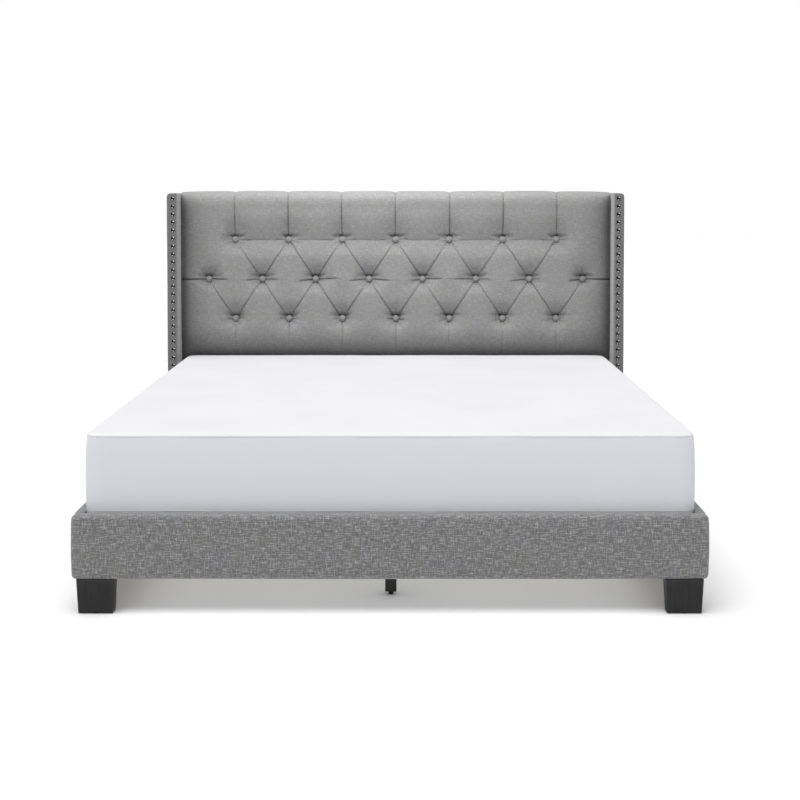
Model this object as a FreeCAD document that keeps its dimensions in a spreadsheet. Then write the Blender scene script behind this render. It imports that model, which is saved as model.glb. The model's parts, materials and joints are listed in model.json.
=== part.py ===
"""Upholstered bed with a tufted winged headboard.

Millimetres. +Z is up, the foot end faces -Y and +X is to the right of someone who looks at the
foot end. The origin is on the floor under the middle of the bed.
"""

import FreeCAD, Part
import Sketcher
import os
import re
from types import SimpleNamespace

# ------------------------------------------------------------------ driving dimensions

DIMENSIONS = {
    # the whole bed
    "bed_length": 2196,
    "wing_span": 2100,
    "head_height": 1326,
    "floor_gap": 110,
    "base_width": 2000,
    "base_top": 312,
    # cloth and fits
    "cloth": 4,
    "wrap": 6,
    "fit_gap": 0.3,
    # footboard
    "board_thick": 18,
    "foot_foam": 18,
    "window_side": 120,
    "window_edge": 40,
    "corner_round": 9,
    # headboard
    "head_pad": 60,
    "panel_thick": 12,
    "batten_deep": 28,
    "batten_wide": 70,
    "stile_wide": 120,
    "frame_side": 990,
    "pad_bottom": 318,
    "frame_top": 1300,
    "hem_bottom": 1240,
    "low_rail_lift": 70,
    "low_rail_over": 8,
    # buttons
    "button_pitch": 250,
    "button_row_top": 1099,
    "button_row_middle": 914,
    "button_row_low": 729,
    "button_wide": 28,
    "button_high": 8,
    "pocket_wide": 44,
    "pocket_deep": 38,
    "tie_wide": 2.5,
    "tie_hole": 6,
    # wings
    "wing_thick": 47,
    "wing_deep": 198,
    "wing_top": 1316,
    "wing_cloth": 5,
    "wing_foam": 8,
    "wing_round": 17,
    "nail_pitch": 36.6,
    "nail_first": 24,
    "nail_inward": 4,
    "nail_wide": 15,
    "nail_high": 4,
    "nail_shank": 2.4,
    "nail_long": 16,
    # feet
    "foot_wide": 120,
    "foot_deep": 45,
    "foot_inset": 14,
    "foot_taper": 5.5,
    "foot_setback": 2,
    "glide_high": 3,
    "glide_wide": 30,
    # slats and what holds them
    "slat_wide": 90,
    "slat_thick": 15,
    "slat_long": 1932,
    "slat_first": 60,
    "slat_pitch": 175,
    "slat_round": 3,
    "ledger_wide": 25,
    "ledger_high": 40,
    "ledger_top": 240,
    "screw_wide": 4,
    "screw_head": 8,
    "screw_inset": 9,
    "screw_deep": 18,
    "screw_sunk": 2.2,
    "tape_wide": 40,
    "tape_thick": 1.5,
    "tape_side": 480,
    # centre rail and its legs
    "tube_wide": 40,
    "tube_high": 50,
    "tube_wall": 2,
    "plate": 3,
    "bracket_side": 45,
    "bracket_seat": 50,
    "bracket_drop": 10,
    "leg_wide": 37,
    "leg_bottom": 12,
    "leg_first": 216,
    "leg_pitch": 850,
    "stem_wide": 8,
    "stem_fit": 0.6,
    "leveller_wide": 16,
    "leveller_high": 8,
    "leveller_long": 46,
    "leveller_room": 60,
    # fasteners
    "bolt_wide": 8,
    "bolt_fit": 0.4,
    "bolt_head": 14,
    "bolt_head_high": 4,
    "bolt_spread": 28,
    "foot_bolt_sunk": 50,
    "foot_bolt_long": 90,
    "leg_bolt_sunk": 40,
    "leg_bolt_long": 54,
    "nut_high": 6,
    "wing_bolt_room": 50,
    "wing_bolt_short": 3,
    "angle_thick": 4,
    "angle_long": 70,
    "angle_low": 120,
    "angle_top": 195,
    "angle_hole": 45,
    "angle_edge": 20,
    "rail_bolt_long": 24,
    "foot_end_bolt_long": 22,
    "head_end_bolt_long": 40,
    # mattress
    "mattress_wide": 1930,
    "mattress_long": 2032,
    "mattress_high": 305,
    "mattress_gap": 4,
    "mattress_round": 42,
    "mattress_edge": 10,
    "ticking": 4,
}
SLATS = 12
CENTRE_LEGS = 3
NAILS = 31
WING_BOLT_HEIGHTS = (300, 700, 1100)

SIDES = {"left": -1, "right": 1}

doc = FreeCAD.newDocument("upholstered_bed")


class Length:
    """A length from the sheet: its text binds a property, its number serves the code."""

    def __init__(self, number, text=None):
        self.number = float(number)
        self.text = text or f"{self.number:.6g}"

    def combined(self, sign, other, number):
        return Length(number, f"({self.text} {sign} {other.text})")

    def __add__(self, other):
        other = as_length(other)
        return self.combined("+", other, self.number + other.number)

    def __sub__(self, other):
        other = as_length(other)
        return self.combined("-", other, self.number - other.number)

    def __mul__(self, other):
        other = as_length(other)
        return self.combined("*", other, self.number * other.number)

    def __truediv__(self, other):
        other = as_length(other)
        return self.combined("/", other, self.number / other.number)

    def __radd__(self, other):
        return as_length(other) + self

    def __rsub__(self, other):
        return as_length(other) - self

    def __neg__(self):
        return 0 - self


def as_length(value):
    return value if isinstance(value, Length) else Length(value)


def fill_sheet():
    """Puts every driving dimension in the spreadsheet and returns them as lengths."""
    table = doc.addObject("Spreadsheet::Sheet", "Dims")
    lengths = {}
    for row, (alias, number) in enumerate(DIMENSIONS.items(), start=1):
        table.set(f"A{row}", alias)
        table.set(f"B{row}", str(number))
        table.setAlias(f"B{row}", alias)
        lengths[alias] = Length(number, f"Dims.{alias}")
    doc.recompute()
    return SimpleNamespace(**lengths)


D = fill_sheet()
NODES = []

# ------------------------------------------------------------------ helpers


def bind(thing, prop, length):
    """Binds one property of an object to the sheet."""
    thing.setExpression(prop, as_length(length).text)


def node(thing, name):
    """Names a finished sub-part and puts it on the list of files to write."""
    thing.Label = name
    NODES.append(thing)
    return thing


def mirrored(side, near, far):
    """The X limits of something between near and far on the left (-1) or the right (1)."""
    return (near, far) if side > 0 else (-far, -near)


def about(middle, width):
    """The two limits of something that is width wide about its middle."""
    return (middle - width / 2, middle + width / 2)


def block(name, x, y, z):
    """A box between two limits along each axis."""
    box = doc.addObject("Part::Box", name)
    for axis, prop, (low, high) in zip("xyz", ("Length", "Width", "Height"), (x, y, z)):
        bind(box, prop, as_length(high) - low)
        bind(box, f"Placement.Base.{axis}", low)
    return box


def rod(name, start, axis, length, width):
    """A cylinder that starts at a point and runs along +X, +Y, -X, -Y or +Z."""
    cylinder = doc.addObject("Part::Cylinder", name)
    bind(cylinder, "Radius", as_length(width) / 2)
    bind(cylinder, "Height", length)
    turn = FreeCAD.Rotation(FreeCAD.Vector(0, 0, 1), FreeCAD.Vector(*axis))
    cylinder.Placement = FreeCAD.Placement(FreeCAD.Vector(), turn)
    for name_of_axis, place in zip("xyz", start):
        bind(cylinder, f"Placement.Base.{name_of_axis}", place)
    return cylinder


def group(name, things):
    """Separate solids that share one object."""
    compound = doc.addObject("Part::Compound", name)
    compound.Links = list(things)
    return compound


def cut(name, base, *tools):
    """base with every tool taken away."""
    for number, tool in enumerate(tools):
        piece = doc.addObject("Part::Cut", f"{name}_cut{number}")
        piece.Base = base
        piece.Tool = tool
        base = piece
    return base


def fuse(name, *parts):
    """One solid out of several."""
    joined = doc.addObject("Part::MultiFuse", name)
    joined.Shapes = list(parts)
    joined.Refine = True
    return joined


def origin_plane(body, role):
    return next(f for f in body.Origin.OriginFeatures if f.Role == role)


def new_body(name):
    return doc.addObject("PartDesign::Body", f"{name}_body")


def sketch_on(body, role, name, offset=None):
    """A sketch on one of a body's origin planes, moved along its normal."""
    sketch = body.newObject("Sketcher::SketchObject", name)
    sketch.AttachmentSupport = [(origin_plane(body, role), "")]
    sketch.MapMode = "FlatFace"
    if offset is not None:
        bind(sketch, "AttachmentOffset.Base.z", offset)
    return sketch


def pin_point(sketch, edge, end, place):
    """Holds one end of an edge at a place measured from the sketch's origin."""
    for kind, length in zip(("DistanceX", "DistanceY"), place):
        length = as_length(length)
        index = sketch.addConstraint(Sketcher.Constraint(kind, -1, 1, edge, end, length.number))
        sketch.setExpression(f"Constraints[{index}]", length.text)


def polygon(sketch, points):
    """A closed outline whose corners are bound to the sheet."""
    corners = [FreeCAD.Vector(as_length(x).number, as_length(y).number) for x, y in points]
    count = len(corners)
    for number in range(count):
        sketch.addGeometry(Part.LineSegment(corners[number], corners[(number + 1) % count]))
    for number in range(count):
        sketch.addConstraint(Sketcher.Constraint("Coincident", number, 2, (number + 1) % count, 1))
    for number, place in enumerate(points):
        pin_point(sketch, number, 1, place)


def rectangle(sketch, x, y):
    polygon(sketch, [(x[0], y[0]), (x[1], y[0]), (x[1], y[1]), (x[0], y[1])])


def circle(sketch, middle, width):
    """A circle with its centre and its diameter bound to the sheet."""
    width = as_length(width)
    place = FreeCAD.Vector(as_length(middle[0]).number, as_length(middle[1]).number)
    ring = sketch.addGeometry(Part.Circle(place, FreeCAD.Vector(0, 0, 1), width.number / 2))
    index = sketch.addConstraint(Sketcher.Constraint("Diameter", ring, width.number))
    sketch.setExpression(f"Constraints[{index}]", width.text)
    pin_point(sketch, ring, 3, middle)


def pad(body, sketch, length):
    feature = body.newObject("PartDesign::Pad", f"{sketch.Name}_pad")
    feature.Profile = sketch
    bind(feature, "Length", length)
    sketch.Visibility = False
    return feature


def pocket(body, sketch, length, reversed_cut=False):
    """Cuts a sketch into the body and makes sure that the cut takes material away."""
    doc.recompute()
    before = body.Shape.Volume
    feature = body.newObject("PartDesign::Pocket", f"{sketch.Name}_pocket")
    feature.Profile = sketch
    feature.Reversed = reversed_cut
    bind(feature, "Length", length)
    doc.recompute()
    if not body.Shape.Volume < before - 1:
        raise RuntimeError(f"{feature.Name} cuts nothing")
    return feature


def repeat(body, feature, sketch, axis, span, count):
    """Repeats a feature along one axis of its sketch."""
    pattern = body.newObject("PartDesign::LinearPattern", f"{feature.Name}_row")
    pattern.Originals = [feature]
    pattern.Direction = (sketch, [axis])
    bind(pattern, "Length", span)
    pattern.Occurrences = count
    body.Tip = pattern
    return pattern


def round_edges(body, radius, chosen):
    """Rounds the edges of a body whose middle point passes the test."""
    doc.recompute()
    base = body.Tip
    names = [f"Edge{i}" for i, edge in enumerate(base.Shape.Edges, 1) if chosen(edge.CenterOfMass)]
    fillet = body.newObject("PartDesign::Fillet", f"{base.Name}_round")
    fillet.Base = (base, names)
    bind(fillet, "Radius", radius)
    return fillet


def slab(name, x, y, z):
    """A body with a rectangular footprint, ready for rounding and drilling."""
    body = new_body(name)
    sketch = sketch_on(body, "XY_Plane", f"{name}_footprint", z[0])
    rectangle(sketch, x, y)
    pad(body, sketch, as_length(z[1]) - z[0])
    return body


def turned(name, points, plane="XZ_Plane"):
    """A body turned about its own axis from half of its outline."""
    body = new_body(name)
    sketch = sketch_on(body, plane, f"{name}_profile")
    polygon(sketch, points)
    turn = body.newObject("PartDesign::Revolution", f"{name}_turn")
    turn.Profile = sketch
    turn.ReferenceAxis = (sketch, ["V_Axis"])
    turn.Angle = 360
    return body


def copies(name, master, places):
    """Copies of one master piece as separate solids at a list of places, in one object."""
    doc.recompute()
    shapes = []
    for place in places:
        shape = master.Shape.copy()
        shape.Placement = FreeCAD.Placement(FreeCAD.Vector(*place), FreeCAD.Rotation())
        shapes.append(shape)
    feature = doc.addObject("Part::Feature", name)
    feature.Shape = Part.Compound(shapes)
    return feature


# ------------------------------------------------------------------ places that several parts share

FOOT_FACE = -D.bed_length / 2
HEAD_BACK = D.bed_length / 2
FOOT_THICK = D.wrap + D.foot_foam + D.board_thick + D.wrap
FOOT_BACK = FOOT_FACE + FOOT_THICK
BASE_SIDE = D.base_width / 2
BOARD_OUT = BASE_SIDE - D.wrap
BOARD_IN = BOARD_OUT - D.board_thick
RAIL_IN = BOARD_IN - D.wrap
BOARD_LOW = D.floor_gap + D.wrap
BOARD_TOP = D.base_top - D.wrap

BATTEN_BACK = HEAD_BACK - D.cloth
BATTEN_FRONT = BATTEN_BACK - D.batten_deep
PANEL_FRONT = BATTEN_FRONT - D.panel_thick
APRON_FRONT = PANEL_FRONT - D.cloth
PAD_FACE = PANEL_FRONT - D.head_pad
COVER_FACE = PAD_FACE - D.cloth

WING_OUT = D.wing_span / 2
WING_IN = WING_OUT - D.wing_thick
HEAD_SIDE = WING_IN - 1
PAD_SIDE = HEAD_SIDE - D.cloth
WING_FACE = HEAD_BACK - D.wing_deep
CORE_IN = WING_IN + D.wing_cloth
CORE_OUT = WING_OUT - D.wing_cloth
WING_BOARD_IN = CORE_IN + D.wing_foam
WING_BOARD_OUT = CORE_OUT - D.wing_foam

FOOT_OUT = BASE_SIDE - D.foot_inset
FOOT_MIDDLE = FOOT_OUT - D.foot_wide / 2
FRONT_FOOT_Y = FOOT_FACE + D.wrap + D.foot_foam + D.board_thick / 2
REAR_FOOT_Y = (BATTEN_FRONT + BATTEN_BACK) / 2

SLAT_LOW = D.ledger_top
SLAT_TOP = SLAT_LOW + D.slat_thick
TUBE_LOW = D.ledger_top - D.tube_high


def button_rows():
    """X of every button in each row, with the row's height: seven, eight, then seven."""
    odd = [D.button_pitch * number for number in range(-3, 4)]
    even = [D.button_pitch * (number + 0.5) for number in range(-4, 4)]
    return ((D.button_row_top, odd), (D.button_row_middle, even), (D.button_row_low, odd))


def slat_middles():
    return [FOOT_BACK + D.slat_first + D.slat_pitch * number for number in range(SLATS)]


def leg_middles():
    return [FOOT_FACE + D.leg_first + D.leg_pitch * number for number in range(CENTRE_LEGS)]


# ------------------------------------------------------------------ bolts, and the holes they need


def upright_bolts(name, width, spare):
    """The bolts that hold the feet and the centre legs, or with a wider width their holes."""
    rods = []
    for side in SIDES.values():
        for y in (FRONT_FOOT_Y, REAR_FOOT_Y):
            for step in (-1, 1):
                x = FOOT_MIDDLE * side + D.bolt_spread * step
                start = (x, y, D.floor_gap - D.foot_bolt_sunk - spare)
                length = D.foot_bolt_long + spare * 2
                rods.append(rod(f"{name}_rod", start, (0, 0, 1), length, width))
    for y in leg_middles():
        start = (Length(0), y, TUBE_LOW - D.leg_bolt_sunk - spare)
        length = D.leg_bolt_long + spare * 2
        rods.append(rod(f"{name}_rod", start, (0, 0, 1), length, width))
    return rods


def corner_bolt_heights():
    return (D.angle_low + D.angle_edge, D.angle_top - D.angle_edge)


def rail_bolt_start(side, end, z):
    """Where a side rail's bolt leaves the inner face of its angle."""
    y = (FOOT_BACK + D.angle_hole) if end < 0 else (APRON_FRONT - D.angle_hole)
    return ((RAIL_IN - D.angle_thick) * side, y, z)


def end_bolt_start(side, end, z):
    """Where an end board's bolt leaves the inner face of its angle."""
    y = (FOOT_BACK + D.angle_thick) if end < 0 else (APRON_FRONT - D.angle_thick)
    return ((RAIL_IN - D.angle_hole) * side, y, z)


def corner_bolts(name, width, spare):
    """Two bolts into each end of each side rail and two into the board across its end."""
    rods = []
    for side in SIDES.values():
        for end in (-1, 1):
            length = D.foot_end_bolt_long if end < 0 else D.head_end_bolt_long
            for z in corner_bolt_heights():
                rods.append(rod(f"{name}_rod", rail_bolt_start(side, end, z), (side, 0, 0),
                                D.rail_bolt_long + spare, width))
                rods.append(rod(f"{name}_rod", end_bolt_start(side, end, z), (0, end, 0),
                                length + spare, width))
    return rods


def corner_bolt_heads():
    """The heads of the corner bolts, on the inner faces of the angles."""
    heads = []
    for side in SIDES.values():
        for end in (-1, 1):
            for z in corner_bolt_heights():
                places = (
                    (rail_bolt_start(side, end, z), (-side, 0, 0)),
                    (end_bolt_start(side, end, z), (0, -end, 0)),
                )
                for start, axis in places:
                    heads.append(rod("corner_bolt_head", start, axis, D.bolt_head_high, D.bolt_head))
    return heads


def wing_bolts(name, width, spare):
    """Bolts through the headboard's stiles into the wing boards."""
    rods = []
    for side in SIDES.values():
        for z in WING_BOLT_HEIGHTS:
            inner_end = D.frame_side - D.wing_bolt_room
            start = ((inner_end - spare) * side, REAR_FOOT_Y, Length(z))
            length = WING_BOARD_OUT - D.wing_bolt_short - inner_end + spare * 2
            rods.append(rod(f"{name}_rod", start, (side, 0, 0), length, width))
    return rods


HOLE = D.bolt_wide + D.bolt_fit
upright_holes = group("upright_holes", upright_bolts("upright_hole", HOLE, Length(1)))
corner_holes = group("corner_holes", corner_bolts("corner_hole", HOLE, Length(1)))
wing_holes = group("wing_holes", wing_bolts("wing_hole", HOLE, Length(1)))


def fasteners():
    """Bolts as sub-parts: one group for each job."""
    nuts = [rod("leg_nut", (Length(0), y, TUBE_LOW + D.tube_wall), (0, 0, 1), D.nut_high, D.bolt_head)
            for y in leg_middles()]
    uprights = upright_bolts("leg_bolt", D.bolt_wide, Length(0))
    legs = uprights[-CENTRE_LEGS:]
    with_nuts = [fuse(f"leg_bolt_{n}", bolt, nut) for n, (bolt, nut) in enumerate(zip(legs, nuts))]
    node(group("leg_bolts", uprights[:-CENTRE_LEGS] + with_nuts), "leg_bolts")

    shanks = corner_bolts("rail_bolt", D.bolt_wide, Length(0))
    heads = corner_bolt_heads()
    bolts = [fuse(f"rail_bolt_{n}", shank, head) for n, (shank, head) in enumerate(zip(shanks, heads))]
    node(group("rail_bolts", bolts), "rail_bolts")

    node(group("wing_bolts", wing_bolts("wing_bolt", D.bolt_wide, Length(0))), "wing_bolts")


# ------------------------------------------------------------------ headboard


def headboard_frame():
    """Battens behind the plywood panel."""
    y = (BATTEN_FRONT, BATTEN_BACK)
    top_low = D.frame_top - D.batten_wide
    low_rail_top = D.base_top + D.low_rail_over
    stile_in = D.frame_side - D.stile_wide
    node(block("headboard_top_rail", (-D.frame_side, D.frame_side), y, (top_low, D.frame_top)),
         "headboard_top_rail")
    low_rail = (D.floor_gap + D.low_rail_lift, low_rail_top)
    node(block("headboard_bottom_rail", (-stile_in, stile_in), y, low_rail), "headboard_bottom_rail")
    node(block("headboard_centre_stile", about(Length(0), D.batten_wide), y, (low_rail_top, top_low)),
         "headboard_centre_stile")
    stiles = [block("stile", mirrored(side, stile_in, D.frame_side), y, (D.floor_gap, top_low))
              for side in SIDES.values()]
    drilled = cut("stiles", group("stiles", stiles), upright_holes, corner_holes, wing_holes)
    node(drilled, "headboard_stiles")


def headboard_panel():
    """Plywood panel with one hole for each button's tie."""
    body = new_body("panel")
    outline = sketch_on(body, "XZ_Plane", "panel_outline", -PANEL_FRONT)
    rectangle(outline, (-D.frame_side, D.frame_side), (D.floor_gap + 2, D.frame_top))
    sheet_pad = pad(body, outline, D.panel_thick)
    sheet_pad.Reversed = True
    for number, (height, places) in enumerate(button_rows()):
        sketch = sketch_on(body, "XZ_Plane", f"tie_holes_{number}", -PANEL_FRONT)
        circle(sketch, (places[0], height), D.tie_hole)
        hole = pocket(body, sketch, D.panel_thick)
        span = D.button_pitch * (len(places) - 1)
        repeat(body, hole, sketch, "H_Axis", span, len(places))
    node(cut("panel_bolts", body, corner_holes), "headboard_panel")


def button_sinks(name, width, start, end):
    """A cylinder along +Y at every button, from one depth to another."""
    rods = []
    for height, places in button_rows():
        for x in places:
            rods.append(rod(f"{name}_rod", (x, start, height), (0, 1, 0), end - start, width))
    return group(name, rods)


def headboard_padding():
    """The foam, sunk at each button, and the cover that goes over it and round to the back."""
    pocket_end = COVER_FACE + D.pocket_deep
    sinks = button_sinks("button_sinks", D.pocket_wide, COVER_FACE - 1, pocket_end)
    tie_holes = button_sinks("tie_holes", D.tie_hole, pocket_end - 1, PANEL_FRONT + 1)

    foam_low = D.pad_bottom + D.cloth
    foam_top = D.head_height - D.cloth
    wide = (-PAD_SIDE, PAD_SIDE)
    front = block("foam_front", wide, (PAD_FACE, PANEL_FRONT), (foam_low, foam_top))
    over = block("foam_over", wide, (PANEL_FRONT, BATTEN_BACK), (D.frame_top, foam_top))
    node(cut("foam", fuse("foam_block", front, over), sinks, tie_holes), "headboard_foam")

    outer = block("cover_outer", (-HEAD_SIDE, HEAD_SIDE), (COVER_FACE, HEAD_BACK),
                  (D.pad_bottom, D.head_height))
    inner = block("cover_inner", wide, (PAD_FACE, BATTEN_BACK), (foam_low, foam_top))
    back_opening = block("cover_back", wide, (PANEL_FRONT, HEAD_BACK + 1),
                         (D.pad_bottom - 1, D.hem_bottom))
    node(cut("cover", outer, inner, back_opening, sinks, wing_holes), "headboard_cover")

    apron = block("apron", wide, (APRON_FRONT, PANEL_FRONT), (D.floor_gap, D.pad_bottom))
    node(cut("apron", apron, corner_holes), "headboard_apron")
    node(block("headboard_dust_cover", wide, (BATTEN_BACK, BATTEN_BACK + 2),
               (D.floor_gap + 4, D.hem_bottom - 2)), "headboard_dust_cover")


def headboard_buttons():
    """Cloth-covered buttons at the bottoms of their sinks, and the ties that hold them."""
    seat = COVER_FACE + D.pocket_deep
    rim = D.button_high * 0.35
    master = turned("button", [
        (0, 0),
        (D.button_wide * 0.44, 0),
        (D.button_wide / 2, rim * 0.5),
        (D.button_wide / 2, rim),
        (D.button_wide * 0.4, D.button_high * 0.78),
        (D.button_wide * 0.2, D.button_high * 0.97),
        (0, D.button_high),
    ], "XY_Plane")
    turn = FreeCAD.Rotation(FreeCAD.Vector(0, 0, 1), 180)
    master.Placement = FreeCAD.Placement(FreeCAD.Vector(), turn)
    doc.recompute()
    shapes = []
    for height, places in button_rows():
        for x in places:
            shape = master.Shape.copy()
            shape.translate(FreeCAD.Vector(x.number, seat.number, height.number))
            shapes.append(shape)
    buttons = doc.addObject("Part::Feature", "buttons")
    buttons.Shape = Part.Compound(shapes)
    node(buttons, "headboard_buttons")
    node(button_sinks("button_ties", D.tie_wide, seat, BATTEN_FRONT), "headboard_button_ties")


# ------------------------------------------------------------------ wings


def wing(side_name, side):
    """One wing: plywood core, foam on both faces, cover, and the row of nails in its edge."""
    y_core = (WING_FACE + D.wing_cloth, HEAD_BACK - D.wing_cloth)
    core_top = D.wing_top - D.wing_cloth * 2
    outer_x = mirrored(side, WING_IN, WING_OUT)
    shell = slab(f"wing_{side_name}", outer_x, (WING_FACE, HEAD_BACK), (D.floor_gap, D.wing_top))
    top = D.wing_top.number
    out = WING_OUT.number * side
    round_edges(shell, D.wing_round, lambda p: abs(p.z - top) < 1 and abs(p.x - out) < 1)
    round_edges(shell, D.wing_cloth - 1, lambda p: (
        abs(p.y - WING_FACE.number) < 1 and D.floor_gap.number + 1 < p.z < top - 16))
    hollow = block("wing_hollow", mirrored(side, CORE_IN, CORE_OUT), y_core,
                   (D.floor_gap - 1, core_top))
    nail_x = ((WING_BOARD_IN + WING_BOARD_OUT) / 2 - D.nail_inward) * side
    holes = nail_rods(f"nail_holes_{side_name}", nail_x, D.nail_shank + 0.4, D.nail_long + 1)
    node(cut(f"wing_{side_name}_cover", shell, hollow, wing_holes, holes), f"wing_{side_name}_cover")

    board = block("wing_board", mirrored(side, WING_BOARD_IN, WING_BOARD_OUT), y_core,
                  (D.floor_gap, core_top))
    node(cut(f"wing_{side_name}_board", board, wing_holes, holes), f"wing_{side_name}_board")
    node(wing_nails(side_name, nail_x), f"wing_{side_name}_nailheads")


def nail_heights():
    return [D.wing_top - D.nail_first - D.nail_pitch * number for number in range(NAILS)]


def nail_rods(name, x, width, length):
    """One cylinder for each nail of a wing, from the wing's front edge backwards."""
    rods = [rod(f"{name}_rod", (x, WING_FACE, z), (0, 1, 0), length, width) for z in nail_heights()]
    return group(name, rods)


def wing_nails(side_name, x):
    """Domed nailheads with their shanks."""
    half = D.nail_wide / 2
    master = turned(f"nail_{side_name}", [
        (0, -D.nail_long),
        (D.nail_shank / 2, -D.nail_long),
        (D.nail_shank / 2, 0),
        (half, 0),
        (half * 0.96, D.nail_high * 0.3),
        (half * 0.75, D.nail_high * 0.68),
        (half * 0.4, D.nail_high * 0.93),
        (0, D.nail_high),
    ], "XY_Plane")
    turn = FreeCAD.Rotation(FreeCAD.Vector(0, 0, 1), 180)
    master.Placement = FreeCAD.Placement(FreeCAD.Vector(), turn)
    doc.recompute()
    shapes = []
    for z in nail_heights():
        shape = master.Shape.copy()
        shape.translate(FreeCAD.Vector(x.number, WING_FACE.number, z.number))
        shapes.append(shape)
    nails = doc.addObject("Part::Feature", f"nails_{side_name}")
    nails.Shape = Part.Compound(shapes)
    return nails


def wing_padding():
    """Foam on the inner and the outer face of each wing's board."""
    y = (WING_FACE + D.wing_cloth, HEAD_BACK - D.wing_cloth)
    z = (D.floor_gap, D.wing_top - D.wing_cloth * 4)
    sheets = []
    for side in SIDES.values():
        for limits in ((CORE_IN, WING_BOARD_IN), (WING_BOARD_OUT, CORE_OUT)):
            sheets.append(block("wing_foam", mirrored(side, *limits), y, z))
    node(cut("wing_padding", group("wing_foams", sheets), wing_holes), "wing_padding")


# ------------------------------------------------------------------ footboard and side rails


def footboard():
    """Board, foam in front of it and a cover whose back is turned in round a window."""
    wide = (-BOARD_OUT, BOARD_OUT)
    z = (BOARD_LOW, BOARD_TOP)
    foam_back = FOOT_BACK - D.wrap - D.board_thick
    board = block("footboard_plank", wide, (foam_back, FOOT_BACK - D.wrap), z)
    node(cut("footboard_board", board, upright_holes, corner_holes), "footboard_board")
    node(block("footboard_foam", wide, (FOOT_FACE + D.wrap, foam_back), z), "footboard_foam")

    shell = slab("footboard_shell", (-BASE_SIDE, BASE_SIDE), (FOOT_FACE, FOOT_BACK),
                 (D.floor_gap, D.base_top))
    side = BASE_SIDE.number
    face = FOOT_FACE.number
    top = D.base_top.number
    round_edges(shell, D.corner_round, lambda p: abs(p.y - face) < 1 and abs(abs(p.x) - side) < 1)
    round_edges(shell, D.wrap - 1, lambda p: abs(p.z - top) < 1 and (
        abs(p.y - face) < 1 or (abs(abs(p.x) - side) < 4 and p.y > face + 12)))
    hollow = block("footboard_hollow", wide, (FOOT_FACE + D.wrap, FOOT_BACK - D.wrap), z)
    window_side = BASE_SIDE - D.window_side
    window = block("footboard_window", (-window_side, window_side),
                   (FOOT_BACK - D.wrap - 1, FOOT_BACK + 1),
                   (D.floor_gap + D.window_edge, D.base_top - D.window_edge))
    node(cut("footboard_cover", shell, hollow, window, upright_holes, corner_holes), "footboard_cover")


def side_rail(side_name, side):
    """A board in a cloth sleeve that is open at both ends."""
    y = (FOOT_BACK, APRON_FRONT)
    x = mirrored(side, BOARD_IN, BOARD_OUT)
    z = (BOARD_LOW, BOARD_TOP)
    board = block("rail_plank", x, y, z)
    node(cut(f"rail_board_{side_name}", board, corner_holes), f"side_rail_{side_name}_board")
    sleeve = block("rail_sleeve", mirrored(side, RAIL_IN, BASE_SIDE), y, (D.floor_gap, D.base_top))
    hollow = block("rail_hollow", x, (FOOT_BACK - 1, APRON_FRONT + 1), z)
    node(cut(f"rail_cover_{side_name}", sleeve, hollow, corner_holes), f"side_rail_{side_name}_cover")


def corner_angles():
    """Steel angles in the four corners between the side rails and the end boards."""
    angles = []
    for side in SIDES.values():
        for end in (-1, 1):
            wall = FOOT_BACK if end < 0 else APRON_FRONT
            inner = wall - D.angle_thick * end
            far = wall - D.angle_long * end
            near_rail = (RAIL_IN - D.angle_thick) * side
            tip = (RAIL_IN - D.angle_long) * side
            body = new_body("angle")
            sketch = sketch_on(body, "XY_Plane", f"{body.Name}_outline", D.angle_low)
            polygon(sketch, [
                (RAIL_IN * side, wall), (RAIL_IN * side, far), (near_rail, far),
                (near_rail, inner), (tip, inner), (tip, wall),
            ])
            pad(body, sketch, D.angle_top - D.angle_low)
            angles.append(body)
    node(cut("corner_brackets", group("angles", angles), corner_holes), "corner_brackets")


# ------------------------------------------------------------------ feet


def foot(name, side, y_front):
    """A tapered block: wide at the top, narrower at the floor."""
    body = new_body(name)
    x = mirrored(side, FOOT_OUT - D.foot_wide, FOOT_OUT)
    y = (y_front, y_front + D.foot_deep)
    taper = D.foot_taper
    low = sketch_on(body, "XY_Plane", f"{name}_low", D.glide_high)
    rectangle(low, (x[0] + taper, x[1] - taper), (y[0] + taper / 2, y[1] - taper / 2))
    high = sketch_on(body, "XY_Plane", f"{name}_high", D.floor_gap)
    rectangle(high, x, y)
    loft = body.newObject("PartDesign::AdditiveLoft", f"{name}_loft")
    loft.Profile = low
    loft.Sections = [high]
    loft.Ruled = True
    node(cut(f"{name}_drilled", body, upright_holes), name)
    middle = (FOOT_MIDDLE * side, y_front + D.foot_deep / 2, Length(0))
    return rod("glide", middle, (0, 0, 1), D.glide_high, D.glide_wide)


def feet():
    glides = []
    for side_name, side in SIDES.items():
        glides.append(foot(f"foot_front_{side_name}", side, FOOT_FACE + D.foot_setback))
        glides.append(foot(f"foot_rear_{side_name}", side, HEAD_BACK - D.foot_deep - D.foot_setback))
    node(group("foot_glides", glides), "foot_glides")


# ------------------------------------------------------------------ centre rail


def centre_rail():
    """Steel tube under the middle of the slats, in a stirrup at each end."""
    y = (FOOT_BACK, APRON_FRONT - D.plate * 2)
    half = D.tube_wide / 2
    wall = D.tube_wall
    tube = block("tube_outer", (-half, half), y, (TUBE_LOW, D.ledger_top))
    bore = block("tube_bore", (-half + wall, half - wall), (y[0] - 1, y[1] + 1),
                 (TUBE_LOW + wall, D.ledger_top - wall))
    node(cut("centre_rail", tube, bore, upright_holes), "centre_rail")

    stirrups = []
    for wall_y, step in ((FOOT_BACK - D.wrap, 1), (APRON_FRONT, -1)):
        stirrups.append(stirrup(wall_y, step))
    node(group("centre_rail_brackets", stirrups), "centre_rail_brackets")


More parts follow.
